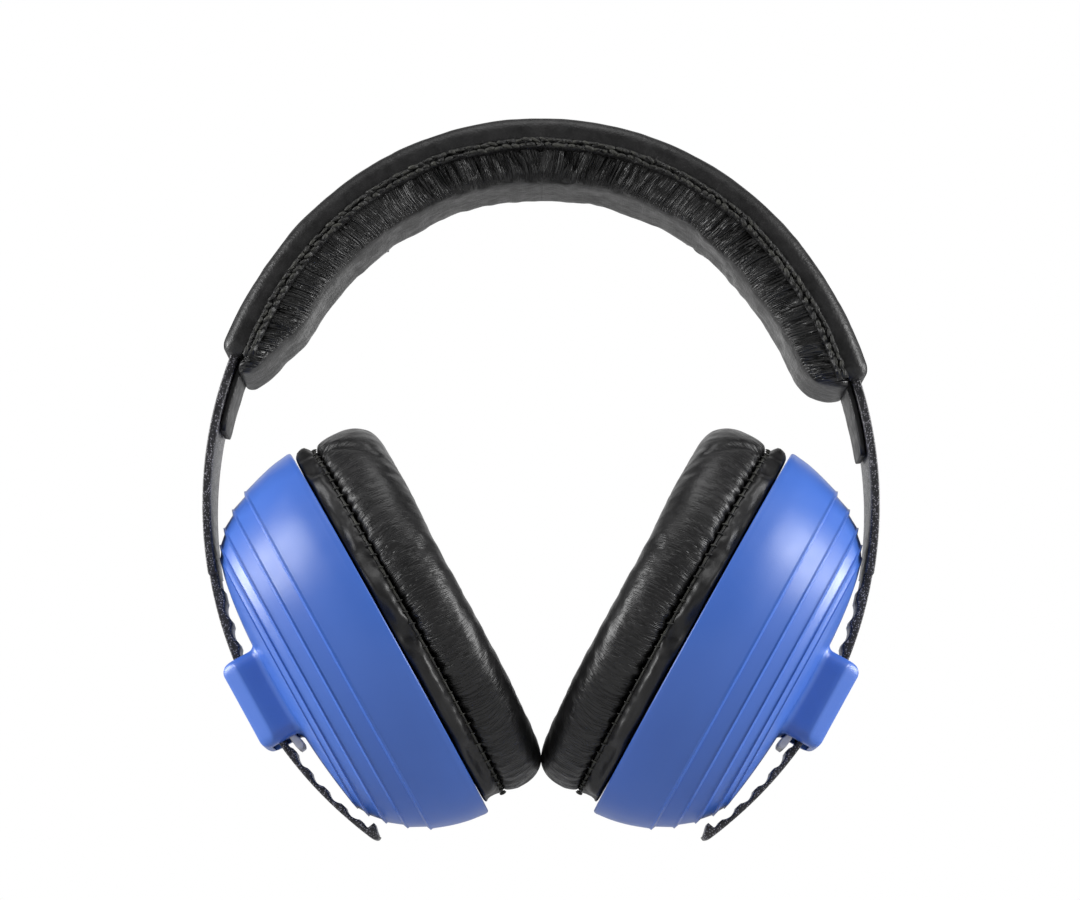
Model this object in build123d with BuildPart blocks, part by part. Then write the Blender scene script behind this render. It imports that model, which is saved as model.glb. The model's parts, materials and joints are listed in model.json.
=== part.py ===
from build123d import *
import os
from math import cos, radians, sin

# Children's hearing protection earmuffs, in millimetres.
# Origin: the underside centre of the headband pad, where it sits on the head.
# X runs from the left cup to the right one, Y from front to back, Z up.
# Every left-hand piece is drawn, and the right-hand one is its mirror image.

# Band strip: one springy strip bent to three arcs that meet tangentially.
crown_drop = 62.0
crown_radius = 74.5
arm_radius = 97.6
junction_angle = 37.4
strip_thickness = 2.0
strip_width = 20.0

# Arm ends, as angles about the arm's arc centre, counted below the horizontal.
left_sleeve_end = -20.5
right_sleeve_end = -16.9
bump_start = 12.5
bump_end = 51.4
tip_end = 54.6
shoulder_drop = 93.5
wide_start_drop = 66.0
shoulder_width = 16.0
tongue_width = 12.0
tip_width = 9.0
tip_drop = 151.0
band_bottom = 160.0

# Notches on the tongue's inner side.
notch_pitch = 3.4
notch_count_above = 4
notch_count_below = 6
notch_radius = 3.9
notch_depth = 0.7
bump_thickness = 2.5
barb_height = 1.2
barb_start = 51.9
barb_peak = 52.8

# Flex hinge: the two ends of the strip face each other across this gap.
flex_gap = 0.05

# Headband sleeve, as depths inward from the strip's outer face.
cover_outside = -1.7
cover_flange = 4.0
cover_width = 31.0
cover_round = 1.2
pad_neck_width = 20.2
pad_top = 2.1
pad_shoulder = 4.1
pad_bottom = 12.5
pad_width = 30.0
pad_round = 5.0
foam_top = 5.2
foam_bottom = 11.4
foam_width = 27.0
foam_round = 4.0
foam_end_wall = 1.0
welt_top = 3.0
welt_bottom = 6.2
welt_thickness = 1.1
thread_rows = (3.7, 5.3)
thread_size = 0.5
tab_thickness = 1.7
tab_width = 17.0
tab_sweep = 10.6
tab_corner_round = 3.4
strip_side_clearance = 0.1
welt_margin = 1.0

# Ear cup: an oval shell whose mouth plane leans in at the bottom.
cup_tilt = 29.2
rim_distance = 62.0
rim_length = 96.6
rim_width = 75.0

# Shell bands: depth outward from the mouth, half length, shift along the cup.
rim_band = ((0.0, 48.3, 0.0), (5.0, 47.8, 0.0), (9.0, 46.8, 0.0), (14.0, 45.0, 0.1))
step_bands = (
    ((14.0, 44.5, 0.1), (18.5, 42.2, 0.4)),
    ((18.5, 41.7, 0.4), (22.4, 38.8, 0.7)),
    ((22.4, 38.3, 0.7), (25.0, 35.1, 0.9)),
    ((25.0, 34.6, 0.9), (26.3, 32.3, 1.0)),
)
face_band = ((26.3, 31.8, 1.0), (27.5, 27.0, 2.0), (28.7, 20.0, 3.0), (29.4, 12.0, 4.0), (29.6, 6.0, 4.0))
hollow = (
    (0.0, 45.9, 0.0),
    (9.0, 44.4, 0.0),
    (17.0, 40.6, 0.3),
    (22.4, 36.0, 0.7),
    (24.6, 32.2, 0.9),
    (25.6, 28.0, 1.2),
    (26.6, 20.0, 2.0),
    (27.2, 9.0, 3.0),
)

# Slot housing on the shell.
block_length = 22.0
block_width = 22.0
block_base = 27.6
block_face = 38.7
block_long_chamfer = 3.5
block_end_round = 2.5
slot_floor = 30.0
slot_roof = 36.7
slot_width = 12.2
slot_length = 30.0
saddle_length = 4.0
saddle_height = 1.0
dimple_radius = 1.0
dimple_shift = 6.0

# Retaining clip that rides on the strip and rocks in the housing.
clip_gap = 0.1
clip_thickness = 1.0
clip_half_sweep = 6.0
clip_width = 11.9
bead_radius = 1.2
bead_clearance = 0.05

# Parts inside the cup, as depths from the mouth plane and half lengths.
seal_plate_depth = 2.2
seal_plate_half = 45.4
seal_opening_half = 28.0
absorber = ((10.0, 43.0, 0.0), (17.0, 39.8, 0.3), (23.0, 34.0, 0.7))
scrim_depth = 9.3
scrim_thickness = 0.6
scrim_half = 43.4

# Cushion, reaching from the mouth plane towards the head.
skirt_top = -0.25
skirt_bottom = -5.0
skirt_half = 46.6
skirt_opening_half = 29.0
cushion_top = -5.0
cushion_face = -19.0
cushion_half = 47.0
cushion_opening_half = 26.0
cushion_outer_round = 12.0
cushion_inner_round = 4.0
cushion_skin = 1.0
seam_half = 47.3
seam_height = 0.7

half_difference = (rim_length - rim_width) / 2
opening_difference = 8.8
face_proportion = 0.68
same_radius = 0.01
degrees_per_radian = 57.2958


def turned(angle):
    # Unit direction in the XZ plane at an angle from +X towards +Z.
    return (cos(radians(angle)), sin(radians(angle)))


def along(start, angle, distance):
    # The point a distance from start in the direction of an angle.
    step = turned(angle)
    return (start[0] + distance * step[0], start[1] + distance * step[1])


crown_centre = (0.0, -crown_drop)
left_arc_centre = along(crown_centre, -junction_angle, arm_radius - crown_radius)
right_arc_centre = (-left_arc_centre[0], left_arc_centre[1])
cup_direction = 180 + cup_tilt
rim_centre = along(left_arc_centre, cup_direction, rim_distance)
cup_normal = turned(cup_direction)
cup_length_axis = turned(90 + cup_tilt)
cup_plane = Plane(
    origin=(rim_centre[0], 0, rim_centre[1]),
    x_dir=(cup_length_axis[0], 0, cup_length_axis[1]),
    z_dir=(cup_normal[0], 0, cup_normal[1]),
)
clip_outer_radius = arm_radius - bump_thickness - clip_gap
pivot_radius = clip_outer_radius - bead_radius
pivot = along(left_arc_centre, cup_direction, pivot_radius)


def sector(centre, inner, outer, start, sweep):
    # A face between two arcs about one centre.
    with BuildSketch() as face:
        with BuildLine():
            far = CenterArc(centre, outer, start, sweep)
            near = CenterArc(centre, inner, start, sweep)
            Line(far @ 0, near @ 0)
            Line(far @ 1, near @ 1)
        make_face()
    return face.sketch


def band_layer(outside, inside, width, end_wall=0.0):
    # A layer of the headband between two depths, from one sleeve end to the other.
    end_trim = end_wall / arm_radius * degrees_per_radian
    left_sweep = junction_angle + left_sleeve_end - end_trim
    right_sweep = junction_angle + right_sleeve_end - end_trim
    crown_sweep = 180 - 2 * junction_angle
    with BuildPart() as layer:
        with BuildSketch(Plane.XZ):
            add(sector(crown_centre, crown_radius - inside, crown_radius - outside, junction_angle, crown_sweep))
            add(
                sector(
                    left_arc_centre,
                    arm_radius - inside,
                    arm_radius - outside,
                    180 - junction_angle,
                    left_sweep,
                )
            )
            add(
                sector(
                    right_arc_centre,
                    arm_radius - inside,
                    arm_radius - outside,
                    junction_angle - right_sweep,
                    right_sweep,
                )
            )
        extrude(amount=width / 2, both=True)
    return layer.part


def edges_at_depth(layer, depth):
    # The long curved edges of a headband layer at one depth.
    curved = layer.edges().filter_by(GeomType.CIRCLE)
    return curved.filter_by(
        lambda edge: min(abs(edge.radius - crown_radius + depth), abs(edge.radius - arm_radius + depth)) < same_radius
    )


def oval(section, plane=cup_plane):
    # An oval face at a section's depth, with the shell's own proportions near the rim.
    depth, half, shift = section
    half_wide = max(half - half_difference, half * face_proportion)
    with BuildSketch(plane.offset(depth)) as face:
        with Locations((shift, 0)):
            Ellipse(half, half_wide)
    return face.sketch


def oval_stack(bands):
    # Stacked bands, each with straight sides between its ovals.
    with BuildPart() as stack:
        for band in bands:
            for low, high in zip(band[:-1], band[1:]):
                add(oval(low))
                add(oval(high))
                loft(ruled=True)
    return stack.part


def oval_ring(low, high, half, opening, outer_round=0.0, inner_round=0.0):
    # A ring between two depths, rounded on the side that faces the head.
    with BuildPart() as ring:
        with BuildSketch(cup_plane.offset(low)):
            Ellipse(half, half - half_difference)
            Ellipse(opening, opening - opening_difference, mode=Mode.SUBTRACT)
        extrude(amount=high - low)
        if outer_round > 0:
            head_face = ring.faces().sort_by(Axis(cup_plane.origin, cup_plane.z_dir))[0]
            rounded = head_face.edges().sort_by(SortBy.LENGTH)
            fillet(rounded[-1], outer_round)
            head_face = ring.faces().sort_by(Axis(cup_plane.origin, cup_plane.z_dir))[0]
            fillet(head_face.edges().sort_by(SortBy.LENGTH)[0], inner_round)
    return ring.part


def band_arm(sleeve_end):
    # An arm of the strip, from the sleeve's end to the barbed tip, on the left side.
    start = 180 + sleeve_end + flex_gap / arm_radius * degrees_per_radian
    notch_centre_radius = arm_radius - bump_thickness + notch_depth - notch_radius
    with BuildPart() as arm:
        with BuildSketch(Plane.XZ):
            add(sector(left_arc_centre, arm_radius - strip_thickness, arm_radius, start, 180 + tip_end - start))
            add(
                sector(
                    left_arc_centre,
                    arm_radius - bump_thickness,
                    arm_radius - strip_thickness,
                    180 + bump_start,
                    bump_end - bump_start,
                )
            )
            barb_foot = along(left_arc_centre, 180 + barb_start, arm_radius - strip_thickness / 2)
            barb_point = along(left_arc_centre, 180 + barb_peak, arm_radius - strip_thickness - barb_height)
            barb_end = along(left_arc_centre, 180 + tip_end, arm_radius - strip_thickness / 2)
            with BuildLine():
                Polyline(barb_foot, barb_point, barb_end, close=True)
            make_face()
            for step in range(-notch_count_above, notch_count_below + 1):
                notch_angle = cup_direction + step * notch_pitch
                with Locations(along(left_arc_centre, notch_angle, notch_centre_radius)):
                    Circle(notch_radius, mode=Mode.SUBTRACT)
        extrude(amount=strip_width / 2, both=True)
        with BuildSketch(Plane.YZ):
            with BuildLine():
                Polyline(
                    (-strip_width / 2, 0),
                    (-strip_width / 2, -wide_start_drop),
                    (-shoulder_width / 2, -shoulder_drop),
                    (-tongue_width / 2, -shoulder_drop),
                    (-tongue_width / 2, -tip_drop + tongue_width / 2),
                    (-tip_width / 2, -band_bottom),
                    (tip_width / 2, -band_bottom),
                    (tongue_width / 2, -tip_drop + tongue_width / 2),
                    (tongue_width / 2, -shoulder_drop),
                    (shoulder_width / 2, -shoulder_drop),
                    (strip_width / 2, -wide_start_drop),
                    (strip_width / 2, 0),
                    close=True,
                )
            make_face()
        extrude(amount=arm_radius, both=True, mode=Mode.INTERSECT)
    return arm.part


def sleeve_tab(sleeve_end):
    # The tongue of covering that lies along the arm's inner face below the sleeve.
    start = 180 + sleeve_end + flex_gap / arm_radius * degrees_per_radian
    outer = arm_radius - strip_thickness - strip_side_clearance
    with BuildPart() as tab:
        with BuildSketch(Plane.XZ):
            add(sector(left_arc_centre, outer - tab_thickness, outer, start, tab_sweep))
        extrude(amount=tab_width / 2, both=True)
        low_face = tab.faces().sort_by(Axis.Z)[0]
        corners = low_face.edges().filter_by(Plane.XZ)
        fillet(corners, tab_corner_round)
    return tab.part


def write(piece, label):
    # Names one finished piece and writes its file.
    piece.part.label = label
    export_step(piece.part, f"parts/{label}.step")
    print(label, round(piece.part.volume, 1), piece.part.is_valid)


os.makedirs("parts", exist_ok=True)

# Headband -----------------------------------------------------------------
crown_layer = band_layer(0.0, strip_thickness, strip_width)
with BuildPart() as headband_strip_crown:
    add(crown_layer)

cover_layer = band_layer(cover_outside, cover_flange, cover_width)
cover_channel = band_layer(0.0, cover_flange, strip_width + 2 * strip_side_clearance)
with BuildPart() as headband_outer_cover:
    add(cover_layer)
    top_edges = edges_at_depth(headband_outer_cover, cover_outside)
    fillet(top_edges, cover_round)
    add(cover_channel, mode=Mode.SUBTRACT)

pad_layer = band_layer(pad_shoulder, pad_bottom, pad_width)
pad_neck = band_layer(pad_top, pad_shoulder, pad_neck_width)
foam_layer = band_layer(foam_top, foam_bottom, foam_width, foam_end_wall)
with BuildPart() as headband_pad_foam:
    add(foam_layer)
    fillet(edges_at_depth(headband_pad_foam, foam_bottom), foam_round)

with BuildPart() as headband_pad_cover:
    add(pad_layer)
    fillet(edges_at_depth(headband_pad_cover, pad_bottom), pad_round)
    add(pad_neck)
    add(headband_pad_foam.part, mode=Mode.SUBTRACT)

welt_layer = band_layer(welt_top, welt_bottom, cover_width + 2 * welt_thickness)
welt_core = band_layer(welt_top - welt_margin, welt_bottom + welt_margin, cover_width)
half_space = 4 * crown_radius
welt_half = Box(half_space, half_space, half_space, align=(Align.CENTER, Align.MAX, Align.CENTER))
with BuildPart() as headband_welt_front:
    add(welt_layer)
    add(welt_core, mode=Mode.SUBTRACT)
    add(welt_half, mode=Mode.INTERSECT)
with BuildPart() as headband_welt_rear:
    add(headband_welt_front.part.mirror(Plane.XZ))

thread_layers = [
    band_layer(row, row + thread_size, cover_width + 2 * welt_thickness + 2 * thread_size) for row in thread_rows
]
thread_core = band_layer(welt_top - welt_margin, welt_bottom + welt_margin, cover_width + 2 * welt_thickness)
with BuildPart() as headband_stitching:
    for layer in thread_layers:
        add(layer)
    add(thread_core, mode=Mode.SUBTRACT)

write(headband_strip_crown, "headband_strip_crown")
write(headband_outer_cover, "headband_outer_cover")
write(headband_pad_cover, "headband_pad_cover")
write(headband_pad_foam, "headband_pad_foam")
write(headband_welt_front, "headband_welt_front")
write(headband_welt_rear, "headband_welt_rear")
write(headband_stitching, "headband_stitching")

# Arms ---------------------------------------------------------------------
left_arm_solid = band_arm(left_sleeve_end)
right_arm_solid = band_arm(right_sleeve_end)
left_tab_solid = sleeve_tab(left_sleeve_end)
right_tab_solid = sleeve_tab(right_sleeve_end)
with BuildPart() as left_band_arm:
    add(left_arm_solid)
with BuildPart() as right_band_arm:
    add(right_arm_solid.mirror(Plane.YZ))
with BuildPart() as left_sleeve_tab:
    add(left_tab_solid)
with BuildPart() as right_sleeve_tab:
    add(right_tab_solid.mirror(Plane.YZ))

write(left_band_arm, "left_band_arm")
write(right_band_arm, "right_band_arm")
write(left_sleeve_tab, "left_sleeve_tab")
write(right_sleeve_tab, "right_sleeve_tab")

# Retaining clip -----------------------------------------------------------
with BuildPart() as left_retaining_clip:
    with BuildSketch(Plane.XZ):
        add(
            sector(
                left_arc_centre,
                clip_outer_radius - clip_thickness,
                clip_outer_radius,
                cup_direction - clip_half_sweep,
                2 * clip_half_sweep,
            )
        )
        with Locations(pivot):
            Circle(bead_radius)
    extrude(amount=clip_width / 2, both=True)

# Ear cup ------------------------------------------------------------------
shell_outside = oval_stack((rim_band,) + step_bands + (face_band,))
shell_hollow = oval_stack((hollow,))
with BuildPart() as housing:
    with BuildSketch(cup_plane.offset(block_base)):
        Rectangle(block_length, block_width)
    extrude(amount=block_face - block_base)
    outer_face = housing.faces().sort_by(Axis(cup_plane.origin, cup_plane.z_dir))[-1]
    long_edges = outer_face.edges().filter_by(Axis(cup_plane.origin, cup_plane.x_dir))
    chamfer(long_edges, block_long_chamfer)
    outer_face = housing.faces().sort_by(Axis(cup_plane.origin, cup_plane.z_dir))[-1]
    end_edges = outer_face.edges().filter_by(Axis.Y)
    fillet(end_edges, block_end_round)
with BuildPart() as left_cup_shell:
    add(shell_outside)
    add(shell_hollow, mode=Mode.SUBTRACT)
    add(housing.part)
    with BuildSketch(cup_plane.offset(slot_floor)):
        Rectangle(slot_length, slot_width)
    extrude(amount=slot_roof - slot_floor, mode=Mode.SUBTRACT)
    with BuildSketch(cup_plane.offset(slot_floor)):
        Rectangle(saddle_length, slot_width)
    extrude(amount=saddle_height)
    with BuildSketch(Plane.XZ):
        with Locations(pivot):
            Circle(bead_radius + bead_clearance)
    extrude(amount=slot_width / 2, both=True, mode=Mode.SUBTRACT)

with BuildPart() as left_acoustic_foam:
    for low, high in zip(absorber[:-1], absorber[1:]):
        add(oval(low))
        add(oval(high))
        loft(ruled=True)

with BuildPart() as left_foam_scrim:
    add(oval((scrim_depth, scrim_half, 0.0)))
    extrude(amount=scrim_thickness)

seal_plate_ring = oval_ring(0.0, seal_plate_depth, seal_plate_half, seal_opening_half)
with BuildPart() as left_seal_plate:
    add(seal_plate_ring)

skirt_ring = oval_ring(skirt_bottom, skirt_top, skirt_half, skirt_opening_half)
with BuildPart() as left_cushion_skirt:
    add(skirt_ring)

cushion_ring = oval_ring(
    cushion_face,
    cushion_top,
    cushion_half,
    cushion_opening_half,
    cushion_outer_round,
    cushion_inner_round,
)
cushion_filling = oval_ring(
    cushion_face + cushion_skin,
    cushion_top - cushion_skin,
    cushion_half - cushion_skin,
    cushion_opening_half + cushion_skin,
    cushion_outer_round - cushion_skin,
    cushion_inner_round - cushion_skin,
)
with BuildPart() as left_cushion_foam:
    add(cushion_filling)
with BuildPart() as left_cushion_cover:
    add(cushion_ring)
    add(cushion_filling, mode=Mode.SUBTRACT)

with BuildPart() as left_cushion_seam:
    with BuildSketch(cup_plane.offset(skirt_bottom - seam_height / 2)):
        Ellipse(seam_half, seam_half - half_difference)
        Ellipse(cushion_half, cushion_half - half_difference, mode=Mode.SUBTRACT)
    extrude(amount=seam_height)

left_side = (
    (left_retaining_clip, "retaining_clip"),
    (left_cup_shell, "cup_shell"),
    (left_acoustic_foam, "acoustic_foam"),
    (left_foam_scrim, "foam_scrim"),
    (left_seal_plate, "seal_plate"),
    (left_cushion_skirt, "cushion_skirt"),
    (left_cushion_cover, "cushion_cover"),
    (left_cushion_foam, "cushion_foam"),
    (left_cushion_seam, "cushion_seam"),
)
dimple_centre = cup_plane.offset(block_face).from_local_coords((dimple_shift, 0, 0))
for left_piece, name in left_side:
    write(left_piece, f"left_{name}")
    with BuildPart() as right_piece:
        add(left_piece.part.mirror(Plane.YZ))
        if name == "cup_shell":
            with Locations((-dimple_centre.X, dimple_centre.Y, dimple_centre.Z)):
                Sphere(dimple_radius, mode=Mode.SUBTRACT)
    write(right_piece, f"right_{name}")

left_hinge = along(left_arc_centre, 180 + left_sleeve_end, arm_radius)
right_hinge = along(left_arc_centre, 180 + right_sleeve_end, arm_radius)
print("left arm hinge", left_hinge)
print("right arm hinge, mirrored", right_hinge)
print("arc centre", left_arc_centre)
print("rim centre", rim_centre)
print("clip pivot", pivot)
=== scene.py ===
import json
import math

import bmesh
import bpy
import numpy as np
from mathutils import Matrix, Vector


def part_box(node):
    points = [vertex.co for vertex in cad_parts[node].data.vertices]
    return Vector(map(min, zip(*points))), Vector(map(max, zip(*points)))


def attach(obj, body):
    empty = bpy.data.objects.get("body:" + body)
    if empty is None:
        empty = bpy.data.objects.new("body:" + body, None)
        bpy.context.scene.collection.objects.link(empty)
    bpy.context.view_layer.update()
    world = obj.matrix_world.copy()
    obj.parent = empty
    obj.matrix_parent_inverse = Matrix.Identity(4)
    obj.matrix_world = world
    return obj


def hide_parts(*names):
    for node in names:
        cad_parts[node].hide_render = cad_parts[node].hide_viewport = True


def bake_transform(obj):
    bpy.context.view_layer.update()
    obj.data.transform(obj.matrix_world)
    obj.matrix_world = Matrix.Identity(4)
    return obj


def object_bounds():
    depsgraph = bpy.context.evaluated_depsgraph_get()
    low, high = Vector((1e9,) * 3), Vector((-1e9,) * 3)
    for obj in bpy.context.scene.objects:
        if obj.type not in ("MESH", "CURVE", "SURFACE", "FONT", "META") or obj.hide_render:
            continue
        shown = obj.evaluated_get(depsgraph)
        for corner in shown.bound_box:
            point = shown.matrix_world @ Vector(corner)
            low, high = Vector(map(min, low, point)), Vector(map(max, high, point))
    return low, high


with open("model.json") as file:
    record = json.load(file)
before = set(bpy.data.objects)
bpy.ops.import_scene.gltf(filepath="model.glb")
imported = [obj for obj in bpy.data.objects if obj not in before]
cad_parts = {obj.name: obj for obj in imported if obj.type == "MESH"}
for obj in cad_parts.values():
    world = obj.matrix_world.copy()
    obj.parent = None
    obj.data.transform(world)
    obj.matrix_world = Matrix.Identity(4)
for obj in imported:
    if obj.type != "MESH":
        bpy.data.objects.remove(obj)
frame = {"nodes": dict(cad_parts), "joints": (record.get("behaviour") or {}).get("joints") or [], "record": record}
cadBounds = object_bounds()
joints = {joint["name"]: joint for joint in frame["joints"]}
mounts = {mount["name"]: mount for mount in frame["record"]["mounts"]}
mm = 0.001
sides = ("left", "right")
sideSign = {"left": -1, "right": 1}  # which way x and the turn go
print("frame loaded:", len(frame["nodes"]), "nodes")


def jointPlace(name):
    # x and z of a joint, in metres
    return np.array(joints[name]["pos_m"])[[0, 2]]


armCentre = jointPlace("left_cup_height")
armRadius = float(np.linalg.norm(jointPlace("left_arm_flex") - armCentre))
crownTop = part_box("headband_strip_crown")[1].z
centreDrop = armCentre[1] - crownTop
crownRadius = (armRadius**2 - armCentre[0] ** 2 - centreDrop**2) / (2 * (centreDrop + armRadius))
crownHeight = crownTop - crownRadius
junctionTurn = math.degrees(math.atan2(armCentre[0], crownHeight - armCentre[1]))


def bandPoint(turn, depth, across):
    # centre + (radius - depth) * (sin turn, cos turn), the turn in degrees from straight up;
    # the crown's centre and radius hold up to the junction, the arm's beyond it
    turn, depth, across = np.broadcast_arrays(turn, depth, across)
    onArm = np.abs(turn) > junctionTurn
    centreX = np.where(onArm, -np.sign(turn) * armCentre[0], 0.0)
    centreZ = np.where(onArm, armCentre[1], crownHeight)
    radius = np.where(onArm, armRadius, crownRadius) - depth
    angle = np.radians(turn)
    return np.stack([centreX + radius * np.sin(angle), across, centreZ + radius * np.cos(angle)], -1)


def bandCoords(points):
    # the inverse: turn = atan2(x - centre x, z - centre z), depth = radius - distance from the centre
    points = np.asarray(points)
    turn = np.degrees(np.arctan2(points[..., 0], points[..., 2] - crownHeight))
    onArm = np.abs(turn) > junctionTurn
    offsetX = points[..., 0] + np.sign(turn) * armCentre[0] * onArm
    offsetZ = points[..., 2] - np.where(onArm, armCentre[1], crownHeight)
    radius = np.where(onArm, armRadius, crownRadius)
    return np.degrees(np.arctan2(offsetX, offsetZ)), radius - np.hypot(offsetX, offsetZ)


def runAt(turn):
    # length along the strip from the crown's top: crown radius * turn, then arm radius * the rest
    crownPart = np.clip(turn, -junctionTurn, junctionTurn)
    return np.radians(crownPart) * crownRadius + np.radians(turn - crownPart) * armRadius


def turnAt(run):
    # the inverse of runAt
    crownRun = math.radians(junctionTurn) * crownRadius
    crownPart = np.clip(run, -crownRun, crownRun)
    return np.degrees(crownPart / crownRadius + (run - crownPart) / armRadius)


sleeveTurn = {
    side: float(bandCoords(np.array(joints[f"{side}_arm_flex"]["pos_m"]))[0]) for side in sides
}
earSeat = mounts["left_ear_seat"]
cupOut = -np.array(earSeat["axis"])
cupUp = np.array([cupOut[2], 0.0, -cupOut[0]])
cushionReach = 19 * mm  # from the shell's rim to the cushion's face
rimCentre = np.array(earSeat["pos_m"]) + cushionReach * cupOut


def cupPoint(up, across, out):
    # rim centre + up * long axis + out * outward direction, with across along Y; lengths in millimetres
    up, across, out = np.broadcast_arrays(up, across, out)
    flat = rimCentre + mm * (up[..., None] * cupUp + out[..., None] * cupOut)
    flat[..., 1] = mm * across
    return flat


def cupCoords(points):
    # the inverse: up, across and out of a place, in millimetres
    offset = (np.asarray(points) - rimCentre) / mm
    return offset @ cupUp, offset[..., 1], offset @ cupOut


noiseRows, noiseColumns = 512, 97


def softNoise(p, q, seed, period=noiseRows):
    # smooth value noise: random numbers on a lattice, blended with t * t * (3 - 2 t) in both directions
    table = np.random.default_rng(seed).uniform(-1, 1, (period, noiseColumns))
    p, q = np.broadcast_arrays(np.asarray(p, float), np.asarray(q, float))
    pLow, qLow = np.floor(p).astype(int), np.floor(q).astype(int)
    pPart, qPart = p - pLow, q - qLow
    pPart, qPart = pPart**2 * (3 - 2 * pPart), qPart**2 * (3 - 2 * qPart)

    def at(i, j):
        # the lattice number i rows and j columns on from each place's cell
        return table[(pLow + i) % period, (qLow + j) % noiseColumns]

    low = at(0, 0) * (1 - pPart) + at(1, 0) * pPart
    high = at(0, 1) * (1 - pPart) + at(1, 1) * pPart
    return low * (1 - qPart) + high * qPart


def easeStep(value, low, high):
    # 0 below low, 1 above high, t * t * (3 - 2 t) between
    part = np.clip((value - low) / (high - low), 0, 1)
    return part * part * (3 - 2 * part)


def gridQuads(rows, columns, joinRows=False):
    # four corners of each cell of a rows x columns grid; the columns close, and the rows too if asked
    row = np.arange(rows if joinRows else rows - 1)[:, None]
    column = np.arange(columns)[None, :]
    nextRow, nextColumn = (row + 1) % rows, (column + 1) % columns
    corners = [row * columns + column, nextRow * columns + column]
    corners += [nextRow * columns + nextColumn, row * columns + nextColumn]
    corners = [np.broadcast_to(corner, (row.size, column.size)) for corner in corners]
    return np.stack(corners, -1).reshape(-1, 4)


def makeMesh(name, points, faces):
    # a mesh with all its faces turned outwards
    mesh = bpy.data.meshes.new(name)
    mesh.from_pydata(np.asarray(points).reshape(-1, 3).tolist(), [], faces)
    work = bmesh.new()
    work.from_mesh(mesh)
    bmesh.ops.recalc_face_normals(work, faces=work.faces)
    work.to_mesh(mesh)
    work.free()
    return mesh


def closedTube(name, points):
    # a grid of rings of places, with a flat face over each end
    rows, columns = points.shape[:2]
    faces = gridQuads(rows, columns).tolist()
    faces += [list(range(columns)), list(range((rows - 1) * columns, rows * columns))]
    return makeMesh(name, points, faces)


def addPiece(name, mesh, material, smoothAngle):
    # an object at the origin, its shading smooth where faces meet at less than smoothAngle degrees
    piece = bpy.data.objects.new(name, mesh)
    bpy.context.scene.collection.objects.link(piece)
    mesh.materials.clear()
    mesh.materials.append(material)
    mesh.shade_smooth()
    mesh.set_sharp_from_angle(angle=math.radians(smoothAngle))
    return piece


def mirroredMesh(mesh, name):
    # the same mesh with x made -x, and its faces turned back outwards
    copy = mesh.copy()
    copy.name = name
    points = meshPoints(copy)
    points[:, 0] *= -1
    setPoints(copy, points)
    copy.flip_normals()
    return copy


def meshPoints(mesh):
    # all vertex places as an array
    points = np.zeros(len(mesh.vertices) * 3)
    mesh.vertices.foreach_get("co", points)
    return points.reshape(-1, 3)


def meshNormals(mesh):
    # all vertex normals as an array
    normals = np.zeros(len(mesh.vertices) * 3)
    mesh.vertex_normals.foreach_get("vector", normals)
    return normals.reshape(-1, 3)


def setPoints(mesh, points):
    # writes an array back as the vertex places
    mesh.vertices.foreach_set("co", np.asarray(points).reshape(-1))
    mesh.update()


def setCreases(mesh, first, second, share):
    # keeps where a point lies along and across the creases, and how strong they are there
    place = mesh.attributes.new("creaseMap", "FLOAT_VECTOR", "POINT")
    places = np.stack([first, second, 0 * first], -1).astype(np.float32)
    place.data.foreach_set("vector", places.reshape(-1))
    weight = mesh.attributes.new("creaseShare", "FLOAT", "POINT")
    weight.data.foreach_set("value", np.asarray(share, np.float32))


def roundedLoop(halfWidth, top, bottom, radius, steps=3):
    # each corner's centre plus radius * (cos, sin) through a quarter turn; returns across and depth
    given = (halfWidth, top, bottom, radius)
    halfWidth, top, bottom, radius = [np.asarray(value, float).reshape(-1, 1) for value in given]
    middle, halfDepth = (top + bottom) / 2, (bottom - top) / 2
    across, depth = [], []
    for quarter, (signAcross, signDepth) in enumerate(((1, 1), (-1, 1), (-1, -1), (1, -1))):
        angle = np.radians(90 * quarter + np.linspace(0, 90, steps + 1))[None, :]
        across.append(signAcross * (halfWidth - radius) + radius * np.cos(angle))
        depth.append(middle + signDepth * (halfDepth - radius) + radius * np.sin(angle))
    return np.hstack(across), np.hstack(depth)


def sweptMesh(name, turns, across, depth):
    # a closed loop of across and depth carried along the band, with flat end caps; lengths in millimetres
    turns = np.asarray(turns)[:, None]
    return closedTube(name, bandPoint(turns, depth * mm, across * mm))


def evaluated(piece):
    # the piece's mesh with its modifiers applied
    graph = bpy.context.evaluated_depsgraph_get()
    graph.update()
    return bpy.data.meshes.new_from_object(piece.evaluated_get(graph), depsgraph=graph)


def workObject(mesh):
    # a passing object to hang modifiers on
    piece = bpy.data.objects.new("work", mesh)
    bpy.context.scene.collection.objects.link(piece)
    return piece


def cut(mesh, other, operation):
    # the mesh joined with, or cut by, another
    piece, tool = workObject(mesh), workObject(other)
    step = piece.modifiers.new("Cut", "BOOLEAN")
    step.operation, step.object, step.solver = operation, tool, "EXACT"
    result = evaluated(piece)
    bpy.data.objects.remove(piece)
    bpy.data.objects.remove(tool)
    return result


def subdivided(mesh, levels):
    # the mesh smoothed by subdivision
    piece = workObject(mesh)
    step = piece.modifiers.new("Smooth", "SUBSURF")
    step.levels = step.render_levels = levels
    result = evaluated(piece)
    bpy.data.objects.remove(piece)
    return result


stitchShape = {"rings": 7, "around": 8, "tip": 0.12, "fullness": 0.6, "sink": 0.8}


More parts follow.
